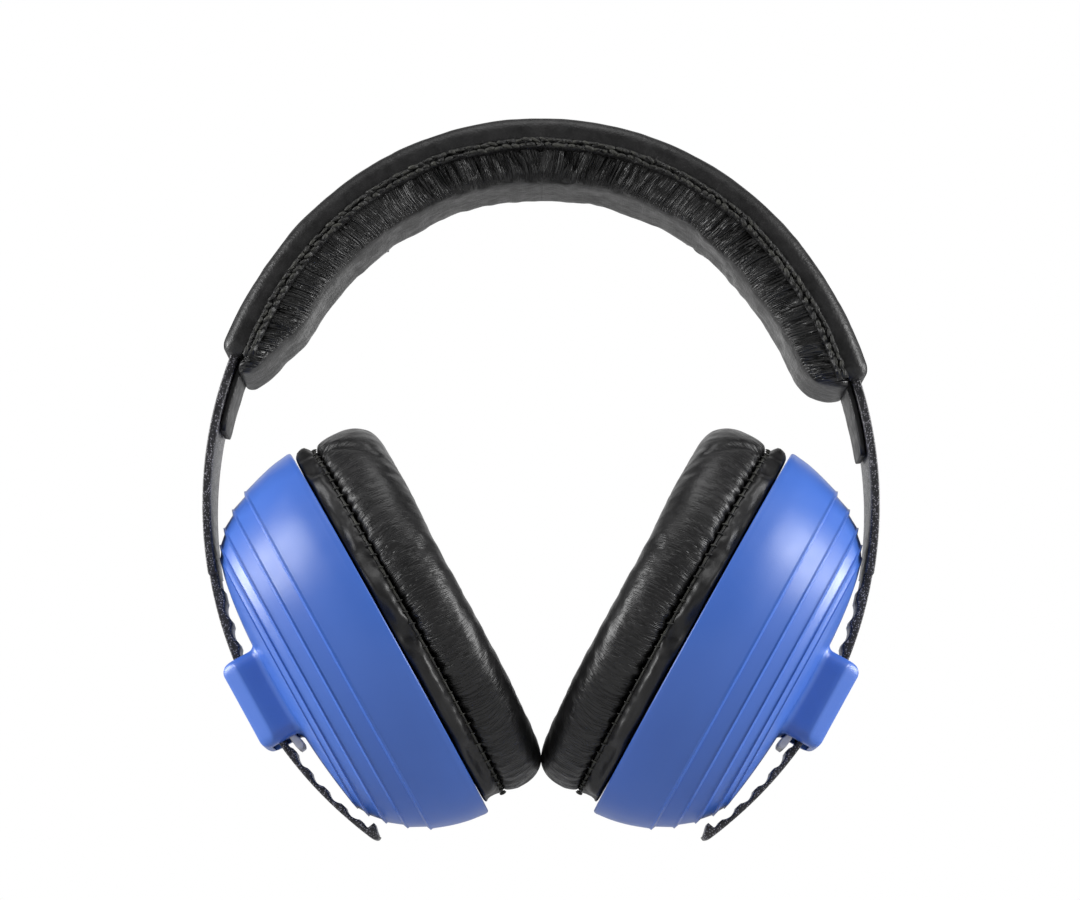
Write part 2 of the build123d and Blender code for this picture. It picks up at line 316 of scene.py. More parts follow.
def capsules(centres, along, outward, lengths, radii):
    # each stitch: a tube of radius * sin(ring) ** fullness along its line, its middle raised
    # towards outward by radius * (sin(ring) - sink), with ring running from tip to pi - tip
    rings, around = stitchShape["rings"], stitchShape["around"]
    ring = np.linspace(stitchShape["tip"], math.pi - stitchShape["tip"], rings)
    turn = np.linspace(0, 2 * math.pi, around, endpoint=False)
    along = along / np.linalg.norm(along, axis=1, keepdims=True)
    sideways = np.cross(along, outward)
    sideways /= np.linalg.norm(sideways, axis=1, keepdims=True)
    upward = np.cross(sideways, along)
    swell = np.sin(ring)[None, :, None, None] ** stitchShape["fullness"]
    stretch = -np.cos(ring)[None, :, None, None] / 2
    lengths, radii = lengths[:, None, None, None], radii[:, None, None, None]
    position = stretch * lengths * along[:, None, None, :]
    arch = (np.sin(ring)[None, :, None, None] - stitchShape["sink"]) * radii * upward[:, None, None, :]
    wheel = np.cos(turn)[None, None, :, None] * upward[:, None, None, :]
    wheel = wheel + np.sin(turn)[None, None, :, None] * sideways[:, None, None, :]
    points = centres[:, None, None, :] + position + arch + swell * radii * wheel
    count, size = len(centres), rings * around
    single = gridQuads(rings, around)
    quads = (single[None] + (np.arange(count) * size)[:, None, None]).reshape(-1, 4).tolist()
    caps = []
    for start in range(0, count * size, size):
        caps.append(list(range(start, start + around)))
        caps.append(list(range(start + size - around, start + size)))
    return points.reshape(-1, 3), quads + caps


common = {
    "patchDetail": 4.0,
    "patchLow": 0.3,
    "patchHigh": 0.7,
    "wearScale": 300,
    "wearDetail": 3.0,
    "wearSpan": (0.3, 0.7),
    "grainDetail": 5.0,
    "grainStrength": 0.6,
    "cellStrength": 0.6,
    "glintSoft": 0.4,
    "creaseMiddle": 0.5,
}
underColour, overColour, mixedColour = 6, 7, 2  # the Mix node's colour sockets


def makeMaterial(name, look):
    # colour = ramp of soft patches, then painted glints, then painted shade in the creases;
    # roughness = noise between two values; normal = cells, then grain, then creases, as bumps on top of each other
    look = {**common, **look}
    material = bpy.data.materials.new(name)
    material.use_nodes = True
    nodes, links = material.node_tree.nodes, material.node_tree.links
    shader = nodes["Principled BSDF"]
    for socket, value in look.get("fixed", {}).items():
        shader.inputs[socket].default_value = value
    place = nodes.new("ShaderNodeTexCoord").outputs["Object"]

    def noise(scale, detail, source=place):
        # smooth random strength, one change per 1 / scale of length
        texture = nodes.new("ShaderNodeTexNoise")
        texture.inputs["Scale"].default_value = scale
        texture.inputs["Detail"].default_value = detail
        links.new(source, texture.inputs["Vector"])
        return texture.outputs["Fac"]

    def cells(scale, feature):
        # distance from the nearest of many scattered middles
        texture = nodes.new("ShaderNodeTexVoronoi")
        texture.feature = feature
        texture.inputs["Scale"].default_value = scale
        links.new(place, texture.inputs["Vector"])
        return texture.outputs["Distance"]

    def ranged(value, fromEnds, toEnds=(0.0, 1.0), curve="LINEAR"):
        # a value carried from one range to another and held at its ends
        step = nodes.new("ShaderNodeMapRange")
        step.interpolation_type = curve
        step.inputs["From Min"].default_value, step.inputs["From Max"].default_value = fromEnds
        step.inputs["To Min"].default_value, step.inputs["To Max"].default_value = toEnds
        links.new(value, step.inputs["Value"])
        return step.outputs["Result"]

    def worked(operation, first, second=None, fixed=None):
        # first and second, or first and a fixed number, put through a sum
        step = nodes.new("ShaderNodeMath")
        step.operation = operation
        links.new(first, step.inputs[0])
        if second is not None:
            links.new(second, step.inputs[1])
        elif fixed is not None:
            step.inputs[1].default_value = fixed
        return step.outputs[0]

    def coloured(share, under, over):
        # under * (1 - share) + over * share
        mix = nodes.new("ShaderNodeMix")
        mix.data_type = "RGBA"
        links.new(share, mix.inputs["Factor"])
        links.new(under, mix.inputs[underColour])
        mix.inputs[overColour].default_value = (*over, 1)
        return mix.outputs[mixedColour]

    def bumped(height, depth, strength, under=None, sunk=False):
        # the normal under it, tilted by the slope of height * depth
        bump = nodes.new("ShaderNodeBump")
        bump.invert = sunk
        bump.inputs["Distance"].default_value = depth
        bump.inputs["Strength"].default_value = strength
        links.new(height, bump.inputs["Height"])
        if under is not None:
            links.new(under, bump.inputs["Normal"])
        return bump.outputs["Normal"]

    ramp = nodes.new("ShaderNodeValToRGB")
    low, high = ramp.color_ramp.elements
    low.position, high.position = look["patchLow"], look["patchHigh"]
    low.color, high.color = (*look["dark"], 1), (*look["light"], 1)
    links.new(noise(look["patchScale"], look["patchDetail"]), ramp.inputs["Fac"])
    colour = ramp.outputs["Color"]
    # painted glints: light cells laid over the colour stand in for the sparkle of glitter grains
    if "glintScale" in look:
        glintEnds = (look["glintEdge"], look["glintEdge"] * look["glintSoft"])
        paintedGlints = ranged(cells(look["glintScale"], "F1"), glintEnds)
        colour = coloured(paintedGlints, colour, look["paintedGlintColour"])
    wear = noise(look["wearScale"], look["wearDetail"])
    links.new(ranged(wear, look["wearSpan"], look["roughness"]), shader.inputs["Roughness"])
    normal = None
    if "cellScale" in look:
        pebbles = cells(look["cellScale"], "SMOOTH_F1")
        normal = bumped(pebbles, look["cellDepth"], look["cellStrength"])
    grain = noise(look["grainScale"], look["grainDetail"])
    normal = bumped(grain, look["grainDepth"], look["grainStrength"], normal)
    if "creaseDepth" in look:
        # narrow valleys where noise on the piece's own creaseMap passes its middle, weighed by creaseShare;
        # they are sunk as bumps and darkened with painted shade
        mapped, share = nodes.new("ShaderNodeAttribute"), nodes.new("ShaderNodeAttribute")
        mapped.attribute_name, share.attribute_name = "creaseMap", "creaseShare"
        lines = noise(1.0, 1.0, mapped.outputs["Vector"])
        fromMiddle = worked("ABSOLUTE", worked("SUBTRACT", lines, fixed=look["creaseMiddle"]))
        valley = ranged(fromMiddle, (0.0, look["creaseWidth"]), (1.0, 0.0), "SMOOTHSTEP")
        valley = worked("MULTIPLY", valley, share.outputs["Fac"])
        normal = bumped(valley, look["creaseDepth"], look["creaseStrength"], normal, True)
        # painted shade: the crease valleys are darkened in the colour
        colour = coloured(valley, colour, look["paintedCreaseShade"])
    links.new(colour, shader.inputs["Base Color"])
    links.new(normal, shader.inputs["Normal"])
    return material


shellLook = {
    "dark": (0.043, 0.126, 0.495),
    "light": (0.053, 0.148, 0.540),
    "patchScale": 22,
    "roughness": (0.34, 0.42),
    "wearScale": 160,
    "grainScale": 2600,
    "grainDepth": 0.00004,
    "grainStrength": 0.35,
    "fixed": {"Coat Weight": 0.15, "Coat Roughness": 0.28, "Specular IOR Level": 0.5},
}
leatherLook = {
    "dark": (0.0030, 0.0030, 0.0033),
    "light": (0.0085, 0.0080, 0.0084),
    "patchScale": 120,
    "roughness": (0.38, 0.56),
    "wearScale": 420,
    "cellScale": 1900,
    "cellDepth": 0.00010,
    "cellStrength": 0.55,
    "grainScale": 900,
    "grainDepth": 0.00022,
    "grainStrength": 0.55,
    "fixed": {"Specular IOR Level": 0.48},
}
# the light specks on this black plastic are painted glints of its glitter grains
bandLook = {
    "dark": (0.010, 0.010, 0.012),
    "light": (0.022, 0.021, 0.024),
    "patchScale": 240,
    "glintScale": 2300,
    "glintEdge": 0.38,
    "paintedGlintColour": (0.36, 0.35, 0.39),
    "roughness": (0.30, 0.48),
    "wearScale": 900,
    "grainScale": 2400,
    "grainDepth": 0.00012,
    "grainStrength": 0.5,
    "fixed": {"Specular IOR Level": 0.6},
}
# the thread's yellowish light patches, scattered by noise, are painted highlights on the stitches
threadLook = {
    "dark": (0.003, 0.003, 0.003),
    "light": (0.036, 0.036, 0.029),
    "patchScale": 560,
    "patchLow": 0.40,
    "patchHigh": 0.66,
    "roughness": (0.45, 0.7),
    "grainScale": 4200,
    "grainDepth": 0.0002,
}
foamLook = {
    "dark": (0.035, 0.035, 0.037),
    "light": (0.085, 0.085, 0.090),
    "patchScale": 900,
    "roughness": (0.85, 0.97),
    "cellScale": 1400,
    "cellDepth": 0.0005,
    "grainScale": 2400,
    "grainDepth": 0.0003,
}
clipLook = {
    "dark": (0.66, 0.66, 0.68),
    "light": (0.74, 0.74, 0.76),
    "patchScale": 90,
    "roughness": (0.32, 0.45),
    "grainScale": 2400,
    "grainDepth": 0.00005,
    "grainStrength": 0.4,
}
innerLook = {
    "dark": (0.018, 0.018, 0.020),
    "light": (0.028, 0.028, 0.031),
    "patchScale": 70,
    "roughness": (0.42, 0.6),
    "grainScale": 2000,
    "grainDepth": 0.0001,
}
padLook = {
    **leatherLook,
    "dark": (0.0095, 0.0095, 0.0097),
    "light": (0.0225, 0.0220, 0.0218),
    "roughness": (0.30, 0.46),
    "creaseDepth": 0.00065,
    "creaseStrength": 1.0,
    "creaseWidth": 0.12,
    # the crease colour is painted shade darkening the wrinkle valleys
    "paintedCreaseShade": (0.001, 0.001, 0.001),
}
cushionLook = {
    **padLook,
    "dark": (0.0050, 0.0050, 0.0054),
    "light": (0.0120, 0.0116, 0.0122),
    "roughness": (0.33, 0.44),
    "cellDepth": 0.00005,
    "grainDepth": 0.00009,
    "creaseDepth": 0.00022,
    "creaseWidth": 0.085,
}
lipLook = {
    **leatherLook,
    "roughness": (0.38, 0.48),
    "cellDepth": 0.00004,
    "grainDepth": 0.00007,
}
shellBlue = makeMaterial("shellBlue", shellLook)
leatherPad = makeMaterial("leatherPad", padLook)
leatherCushion = makeMaterial("leatherCushion", cushionLook)
leatherLip = makeMaterial("leatherLip", lipLook)
leatherBlack = makeMaterial("leatherBlack", leatherLook)
bandBlack = makeMaterial("bandBlack", bandLook)
threadBlack = makeMaterial("threadBlack", threadLook)
foamGrey = makeMaterial("foamGrey", foamLook)
clipGrey = makeMaterial("clipGrey", clipLook)
innerBlack = makeMaterial("innerBlack", innerLook)


def makeWeave(name, look):
    # the larger of two crossed waves, read from the piece's own UV map, for plain woven cloth
    material = bpy.data.materials.new(name)
    material.use_nodes = True
    nodes, links = material.node_tree.nodes, material.node_tree.links
    shader = nodes["Principled BSDF"]
    shader.inputs["Roughness"].default_value = look["roughness"]
    place = nodes.new("ShaderNodeTexCoord").outputs["UV"]
    weave = nodes.new("ShaderNodeMath")
    weave.operation = "MAXIMUM"
    for index, direction in enumerate(("X", "Y")):
        wave = nodes.new("ShaderNodeTexWave")
        wave.bands_direction = direction
        wave.inputs["Scale"].default_value = look["threads"]
        wave.inputs["Distortion"].default_value = look["unevenness"]
        links.new(place, wave.inputs["Vector"])
        links.new(wave.outputs["Fac"], weave.inputs[index])
    ramp = nodes.new("ShaderNodeValToRGB")
    low, high = ramp.color_ramp.elements
    low.color, high.color = (*look["dark"], 1), (*look["light"], 1)
    links.new(weave.outputs["Value"], ramp.inputs["Fac"])
    links.new(ramp.outputs["Color"], shader.inputs["Base Color"])
    bump = nodes.new("ShaderNodeBump")
    bump.inputs["Distance"].default_value = look["depth"]
    links.new(weave.outputs["Value"], bump.inputs["Height"])
    links.new(bump.outputs["Normal"], shader.inputs["Normal"])
    return material


weaveLook = {
    "roughness": 0.85,
    "threads": 0.45,
    "unevenness": 0.4,
    "dark": (0.012, 0.012, 0.013),
    "light": (0.06, 0.06, 0.065),
    "depth": 0.0002,
}
scrimBlack = makeWeave("scrimBlack", weaveLook)
print("materials made")

stripSize = {
    "thickness": 2.0,
    "widths": ((-200.0, 20.0), (-66.0, 20.0), (-93.5, 16.0)),
    "tongueStart": -93.5,
    "tongueWidth": 12.0,
    "tongueTaper": (-145.0, -160.0, 9.0),
    "bumpStart": 12.5,
    "bumpEnd": 51.4,
    "bumpThickness": 2.5,
    "notchPitch": 3.4,
    "notchFirst": -4,
    "notchLast": 6,
    "notchCentre": 29.2,
    "notchRadius": 3.9,
    "notchDepth": 0.7,
    "barb": ((51.4, 1.75), (51.9, 1.5), (52.5, 1.45), (52.75, 3.15), (52.95, 3.1), (53.7, 2.3), (54.6, 1.6)),
    "tipEnd": 54.6,
    "tipRound": 2.2,
    "edgeRound": 0.35,
    "flexRun": 20.0,
    "thinning": (29.5, 43.0, 0.75),
    "bumpSoft": 0.1,
    "crownSteps": 130,
    "tongueSteps": 330,
    "tipSteps": 14,
    "tipTurn": 1.5,
    "tipCurve": 0.96,
    "tipThin": 0.9,
    "tipLift": 0.35,
    "tipLeast": 0.75,
}


def stripInner(below):
    # inner face depth at an angle below the horizontal: the thickness, then thicker bumps scooped by
    # circles at each notch, all thinned towards the tip, then the barb's own corners
    size = stripSize
    inner = np.full(below.shape, size["thickness"])
    start, end, soft = size["bumpStart"], size["bumpEnd"], size["bumpSoft"]
    step = easeStep(below, start - soft, start) * easeStep(-below, -end - soft, -end)
    inner = inner + step * (size["bumpThickness"] - size["thickness"])
    index = np.round((below - size["notchCentre"]) / size["notchPitch"])
    index = np.clip(index, size["notchFirst"], size["notchLast"])
    reach = np.radians(below - size["notchCentre"] - index * size["notchPitch"])
    reach = reach * (armRadius / mm - size["bumpThickness"])
    drop = np.sqrt(np.maximum(size["notchRadius"] ** 2 - reach**2, 0))
    scoop = size["bumpThickness"] - size["notchDepth"] + size["notchRadius"] - drop
    inner = np.minimum(inner, np.where(drop > 0, scoop, inner))
    thinStart, thinEnd, thinDepth = size["thinning"]
    inner = inner - thinDepth * easeStep(below, thinStart, thinEnd)
    barbAngles, barbDepths = zip(*size["barb"])
    barb = np.interp(below, barbAngles, barbDepths)
    return np.where(below > barbAngles[0], barb, inner)


def stripMesh(side):
    # rounded rectangles carried from the crown's top to the tip, their width read from the height and
    # their inner depth from the angle, both drawn in at the tip by a quarter circle
    size = stripSize
    belowTip = size["tipEnd"]
    crownTurns = np.linspace(0, 90 + size["bumpStart"] - 0.3, size["crownSteps"])
    tongueTurns = 90 + np.linspace(size["bumpStart"] - 0.15, belowTip - 1.6, size["tongueSteps"])
    tipEase = 1 - np.sin(np.linspace(0, math.pi / 2, size["tipSteps"]))
    tipTurns = 90 + belowTip - size["tipTurn"] * tipEase
    stepTurn = 90 + math.degrees(math.asin((armCentre[1] - size["tongueStart"] * mm) / armRadius))
    stepTurns = stepTurn + np.array([-0.12, -0.02, 0.02, 0.1])
    turns = np.unique(np.round(np.concatenate([crownTurns, tongueTurns, tipTurns, stepTurns]), 4))
    below = turns - 90
    height = bandPoint(turns, 0.0, 0.0)[:, 2] / mm
    drops, widths = zip(*size["widths"][::-1])
    width = np.interp(height, drops, widths)
    taperStart, taperEnd, taperWidth = size["tongueTaper"]
    tongue = np.interp(height, (taperEnd, taperStart), (taperWidth, size["tongueWidth"]))
    width = np.where(turns > stepTurn, tongue, width)
    inner = np.where(below > 0, stripInner(below), size["thickness"])
    toTip = np.radians(belowTip - below) * armRadius / mm
    tipShare = np.clip(1 - toTip / size["tipRound"], 0, 1)
    rounding = 1 - np.sqrt(1 - size["tipCurve"] * tipShare**2)
    width = width - 2 * size["tipRound"] * rounding
    outer = size["tipThin"] * rounding
    inner = np.maximum(inner - size["tipLift"] * tipShare, outer + size["tipLeast"])
    across, depth = roundedLoop(width / 2, outer, inner, size["edgeRound"])
    return sweptMesh(f"band_strip_{side}", sideSign[side] * turns, across, depth)


def flexEnds(side):
    # where the strip starts to bend, at the sleeve's end, and where it has bent, flexRun farther on
    start = sleeveTurn[side]
    end = turnAt(runAt(start) + sideSign[side] * stripSize["flexRun"] * mm)
    return [tuple(bandPoint(turn, stripSize["thickness"] / 2 * mm, 0.0)) for turn in (start, float(end))]


for side in sides:
    strip = addPiece(f"band_strip_{side}", stripMesh(side), bandBlack, 35)
    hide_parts(f"{side}_band_arm", "headband_strip_crown")
    flexRange = flexEnds(side)
    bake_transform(strip)
print("band strips made")

tabSize = {
    "length": 17.8,
    "thickness": 1.5,
    "width": 17.0,
    "lift": 2.15,
    "cornerRound": 2.6,
    "curl": 0.15,
    "edgeRound": 0.5,
    "hidden": 2.0,
    "thinning": 0.25,
    "ripple": 0.10,
    "crease": 0.12,
}


def tabMesh(side):
    # rounded rectangles carried down from inside the sleeve's end: half width drawn in by a quarter
    # circle at the corners, the surface lifted a little towards the end and gently rippled
    size = tabSize
    lastRun = size["length"] - 3 * (1 - np.sin(np.linspace(0.05, math.pi / 2, 12)))
    run = np.concatenate([np.linspace(-size["hidden"], size["length"] - 3, 40), lastRun])
    turns = turnAt(runAt(sleeveTurn[side]) + sideSign[side] * run * mm)
    toEnd = size["length"] - run
    corner = np.clip(1 - toEnd / size["cornerRound"], 0, 1)
    halfWidth = size["width"] / 2 - size["cornerRound"] * (1 - np.sqrt(1 - 0.98 * corner**2))
    ripple = size["ripple"] * softNoise(run / 2.2, 0.3, 11) * easeStep(-run, -size["length"], 2)
    top = size["lift"] + size["curl"] * easeStep(run, 4, size["length"]) + ripple
    thickness = size["thickness"] - size["thinning"] * easeStep(run, 6, size["length"])
    across, depth = roundedLoop(halfWidth, top, top + thickness, size["edgeRound"], 4)
    creases = size["crease"] * softNoise(run[:, None] / 1.3, across / 2.1, 12)
    creases = creases * easeStep(-run[:, None], -size["length"] * 0.7, 0)
    inside = depth > (top + thickness / 2)[:, None]
    return sweptMesh(f"sleeve_tab_piece_{side}", turns, across, depth + creases * inside)


for side in sides:
    tab = addPiece(f"tab_{side}", tabMesh(side), leatherBlack, 50)
    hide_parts(f"{side}_sleeve_tab")
    flexRange = flexEnds(side)
    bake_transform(tab)
print("tabs made")

leftRun, rightRun = [float(runAt(sleeveTurn[side])) / mm for side in sides]
coverSize = {
    "outside": -1.75,
    "flange": 3.35,
    "width": 31.0,
    "cornerRound": 2.4,
    "crown": 0.75,
    "channelWidth": 20.6,
    "endRound": 3.2,
    "wave": 0.10,
    "pucker": 0.22,
    "stitchPitch": 3.3,
    "belly": 0.25,
    "endDraw": 2.4,
    "endDepth": 0.35,
    "footLift": 1.2,
    "runSteps": 420,
    "sideSteps": 7,
    "topSteps": 11,
}


def coverOutline():
    # half of a U on each side: foot, side, quarter-circle corner and flat top outside, then the
    # strip's channel inside; returns across, depth, and 1 on the outside or 0 in the channel
    size = coverSize
    half, corner, outside = size["width"] / 2, size["cornerRound"], size["outside"]
    steps, topSteps = size["sideSteps"], size["topSteps"]
    angle = np.linspace(0, math.pi / 2, 6)
    sideDown = np.linspace(size["flange"], outside + corner, steps)
    topAcross = np.linspace(half - corner, -(half - corner), topSteps + 2)[1:-1]
    firstCorner = half - corner + corner * np.cos(angle[1:])
    lastCorner = -(half - corner) - corner * np.sin(angle[:-1])
    outerAcross = [np.full(steps, half), firstCorner, topAcross, lastCorner, np.full(steps, -half)]
    firstDepth = outside + corner - corner * np.sin(angle[1:])
    lastDepth = outside + corner - corner * np.cos(angle[:-1])
    outerDepth = [sideDown, firstDepth, np.full(topSteps, outside), lastDepth, sideDown[::-1]]
    channel, roof = size["channelWidth"] / 2, -0.15
    innerAcross = np.repeat([-channel, channel], 3)
    flange = size["flange"]
    innerDepth = np.array([flange, flange / 2, roof, roof, flange / 2, flange])
    across = np.concatenate(outerAcross + [innerAcross])
    isOuter = np.ones(len(across))
    isOuter[-len(innerAcross) :] = 0
    return across, np.concatenate(outerDepth + [innerDepth]), isOuter


def coverMesh():
    # the outline carried along the sleeve: its top crowned by 1 - (across / half) ** 2, its sides
    # bellied, puckered at the seam and gently waved, and its ends drawn down on to the strip
    size = coverSize
    half, endRound = size["width"] / 2, size["endRound"]
    ends = (1 - np.cos(np.linspace(0, math.pi / 2, 10))) * endRound
    between = np.linspace(leftRun + endRound, rightRun - endRound, size["runSteps"])[1:-1]
    run = np.concatenate([leftRun + ends, between, (rightRun - ends)[::-1]])
    toEnd = np.minimum(run - leftRun, rightRun - run)[:, None]
    shrink = 1 - np.sqrt(np.clip(1 - (1 - np.clip(toEnd / endRound, 0, 1)) ** 2, 0, 1))
    across, depth, isOuter = [part[None, :] + 0 * toEnd for part in coverOutline()]
    bow = size["crown"] * (1 - (across / half) ** 2) * isOuter
    depth = depth - bow * (depth < 0)
    belly = size["belly"] * np.clip(1 - ((depth - 0.9) / 2.6) ** 2, 0, 1) * isOuter
    along = run[:, None]
    toSeam = np.clip((size["flange"] - depth) / 1.6, 0, 4)
    pucker = softNoise(along / size["stitchPitch"] * 2.2, np.sign(across) * 3, 21)
    pucker = size["pucker"] * np.exp(-toSeam) * pucker
    wave = softNoise(along / 9, across / 7 + depth / 5, 22)
    wave = size["wave"] * (wave + 0.6 * softNoise(along / 2.6, across / 9 + depth / 3, 23))
    rise = (pucker * (np.abs(across) > half - 1.0) + wave) * isOuter
    across = across + np.sign(across) * (belly + rise * (np.abs(across) > half - 1.2))
    depth = depth - rise * (np.abs(across) <= half - 1.2) * (depth < 0)
    drawn = np.maximum(np.abs(across) - shrink * size["endDraw"], size["channelWidth"] / 2 + 0.25)
    across = np.where(isOuter > 0, np.sign(across) * drawn, across)
    lowered = depth + shrink * (-size["endDepth"] - depth) * 0.92
    depth = np.where((isOuter > 0) & (depth < 0), lowered, depth)
    depth = np.where(depth > 1.5, depth - shrink * size["footLift"], depth)
    return sweptMesh("headband_cover", turnAt(run * mm), across, depth)


cover = addPiece("headband_cover", coverMesh(), leatherBlack, 60)
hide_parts("headband_outer_cover")
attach(cover, "headband")
print("headband cover made")

weltSize = {
    "rows": (3.95, 5.15),
    "ridge": 0.70,
    "inside": 14.6,
    "face": 15.55,
    "proud": 0.70,
    "groove": 0.75,
    "fray": 0.42,
    "stitchLength": 2.3,
    "stitchPitch": 2.1,
    "stitchRadius": 0.46,
    "endGap": 1.2,
    "runSteps": 760,
    "loopSteps": 19,
    "swell": 0.25,
    "wander": 0.25,
}


def weltMesh(name, facing):
    # two ridges side by side on the sleeve's face, each sqrt(1 - (distance / ridge) ** 2) high,
    # swelling by |sin| between its stitches, frayed by fine noise, and wandering a little
    size = weltSize
    run = np.linspace(leftRun + size["endGap"] * 0.5, rightRun - size["endGap"] * 0.5, size["runSteps"])
    firstRow, lastRow = size["rows"]
    first, last = firstRow - size["ridge"] - 0.15, lastRow + size["ridge"] + 0.15
    loopDepth = np.linspace(first, last, size["loopSteps"])
    along, down = run[:, None], loopDepth[None, :]
    ridges = np.zeros((len(run), len(loopDepth)))
    for number, row in enumerate(size["rows"]):
        dome = np.sqrt(np.clip(1 - ((down - row) / (size["ridge"] + 0.12)) ** 2, 0, 1))
        phase = along / size["stitchPitch"] + 0.5 * number
        swell = 1 - size["swell"] + size["swell"] * np.abs(np.sin(math.pi * phase))
        ridges = np.maximum(ridges, dome * swell)
    fray = softNoise(along / 0.55, down / 0.5, 31 + facing) + softNoise(along / 1.7, down / 0.9, 33 + facing)
    fray = size["fray"] * fray
    height = (size["proud"] + size["groove"]) * ridges
    outer = size["face"] - size["groove"] + height * (1 + fray * 0.5) + fray * 0.30
    toEnd = np.minimum(run - run[0], run[-1] - run)[:, None]
    outer = size["inside"] + (outer - size["inside"]) * (0.15 + 0.85 * easeStep(toEnd, 0, 2.0))
    wander = size["wander"] * softNoise(along / 7, 0.5, 35 + facing)
    depth = np.concatenate([loopDepth, loopDepth[::-1]])[None, :] + wander
    across = facing * np.hstack([outer, np.full(outer.shape, size["inside"])])
    return sweptMesh(name, turnAt(run * mm), across, depth)


def headbandStitches():
    # a capsule at each pitch along each ridge, its place, depth, lift, length and radius each
    # drawn evenly from a small span
    size = weltSize
    rng = np.random.default_rng(41)
    allPoints, allFaces, offset = [], [], 0
    for facing in (-1, 1):
        for number, row in enumerate(size["rows"]):
            first = leftRun + size["endGap"] + 0.5 * number * size["stitchPitch"]
            run = np.arange(first, rightRun - size["endGap"], size["stitchPitch"])
            run = run + rng.uniform(-0.25, 0.25, run.size)
            depth = row + rng.uniform(-0.14, 0.14, run.size)
            depth = depth + size["wander"] * softNoise(run / 7, 0.5, 35 + facing)
            lift = size["face"] + size["proud"] * 0.95 + rng.uniform(-0.12, 0.12, run.size)
            centre = bandPoint(turnAt(run * mm), depth * mm, facing * lift * mm)
            depthAhead = depth + rng.uniform(-0.10, 0.22, run.size)
            ahead = bandPoint(turnAt((run + 0.5) * mm), depthAhead * mm, facing * lift * mm)
            outward = np.tile([0.0, facing, 0.0], (run.size, 1))
            lengths = size["stitchLength"] * mm * rng.uniform(0.7, 1.25, run.size)
            radii = size["stitchRadius"] * mm * rng.uniform(0.6, 1.2, run.size)
            points, faces = capsules(centre, ahead - centre, outward, lengths, radii)
            allPoints.append(points)
            allFaces += [[index + offset for index in face] for face in faces]
            offset += len(points)
    return makeMesh("headband_stitches", np.vstack(allPoints), allFaces)


for facing, place in ((-1, "front"), (1, "rear")):
    welt = addPiece(f"welt_{place}", weltMesh(f"welt_{place}", facing), leatherBlack, 60)
    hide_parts(f"headband_welt_{place}")
    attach(welt, "headband")
stitches = addPiece("headband_stitches", headbandStitches(), threadBlack, 60)
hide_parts("headband_stitching")
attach(stitches, "headband")
print("welts and stitches made")

clothSize = {
    "enlarge": 10.0,
    "frames": 20,
    "pressure": 4.0,
    "mass": 0.25,
    "stiffness": 12,
    "shear": 6.0,
    "bending": 0.4,
    "leastHold": 0.01,
}


def remeshed(mesh, voxel):
    # even quads of about the voxel size over the same shape
    piece = workObject(mesh)
    step = piece.modifiers.new("Even", "REMESH")
    step.mode, step.voxel_size = "VOXEL", voxel
    result = evaluated(piece)
    bpy.data.objects.remove(piece)
    return result


def puffed(mesh, held, cap):
    # cloth filled by pressure at ten times its size, held where held is 1; each point then keeps
    # cap * tanh(distance / cap) of the distance that it moved
    size = clothSize
    start = meshPoints(mesh)
    setPoints(mesh, start * size["enlarge"])
    piece = workObject(mesh)
    group = piece.vertex_groups.new(name="held")
    for index in np.nonzero(held > size["leastHold"])[0]:
        group.add([int(index)], float(held[index]), "REPLACE")
    cloth = piece.modifiers.new("Cloth", "CLOTH")
    settings = cloth.settings
    settings.vertex_group_mass = "held"
    settings.mass = size["mass"]
    settings.use_pressure = True
    settings.uniform_pressure_force = size["pressure"]
    settings.tension_stiffness = settings.compression_stiffness = size["stiffness"]
    settings.shear_stiffness, settings.bending_stiffness = size["shear"], size["bending"]
    settings.effector_weights.gravity = 0
    cloth.collision_settings.use_collision = False
    cloth.point_cache.frame_start, cloth.point_cache.frame_end = 1, size["frames"]
    scene = bpy.context.scene
    for number in range(1, size["frames"] + 1):
        scene.frame_set(number)
    result = evaluated(piece)
    bpy.data.objects.remove(piece)
    scene.frame_set(1)
    moved = meshPoints(result) / size["enlarge"] - start
    distance = np.linalg.norm(moved, axis=1, keepdims=True)
    most, average = [round(float(value) / mm, 2) for value in (distance.max(), distance.mean())]
    print("  cloth moved", most, "mm at most,", average, "on average")
    share = np.tanh(distance / cap) * cap / np.maximum(distance, 1e-9)
    setPoints(result, start + moved * share)
    return result


padSize = {
    "top": 4.05,
    "bottom": 12.0,
    "width": 29.2,
    "round": 2.6,
    "leftReach": 3.8,
    "rightReach": 1.0,
    "ends": {"left": (17.0, 6.0, 2.4), "right": (11.0, 2.4, 6.0)},
    "thinEnd": 4.9,
    "topRise": 1.35,
    "voxel": 1.5,
    "cap": 1.1,
    "wrinkle": 1.5,
    "fold": 0.55,
    "endRun": 5,
    "endSteps": 12,
    "runSteps": 150,
    "endNarrow": 4.0,
    "slant": 0.25,
    "ripple": 0.16,
    "corner": 0.3,
}


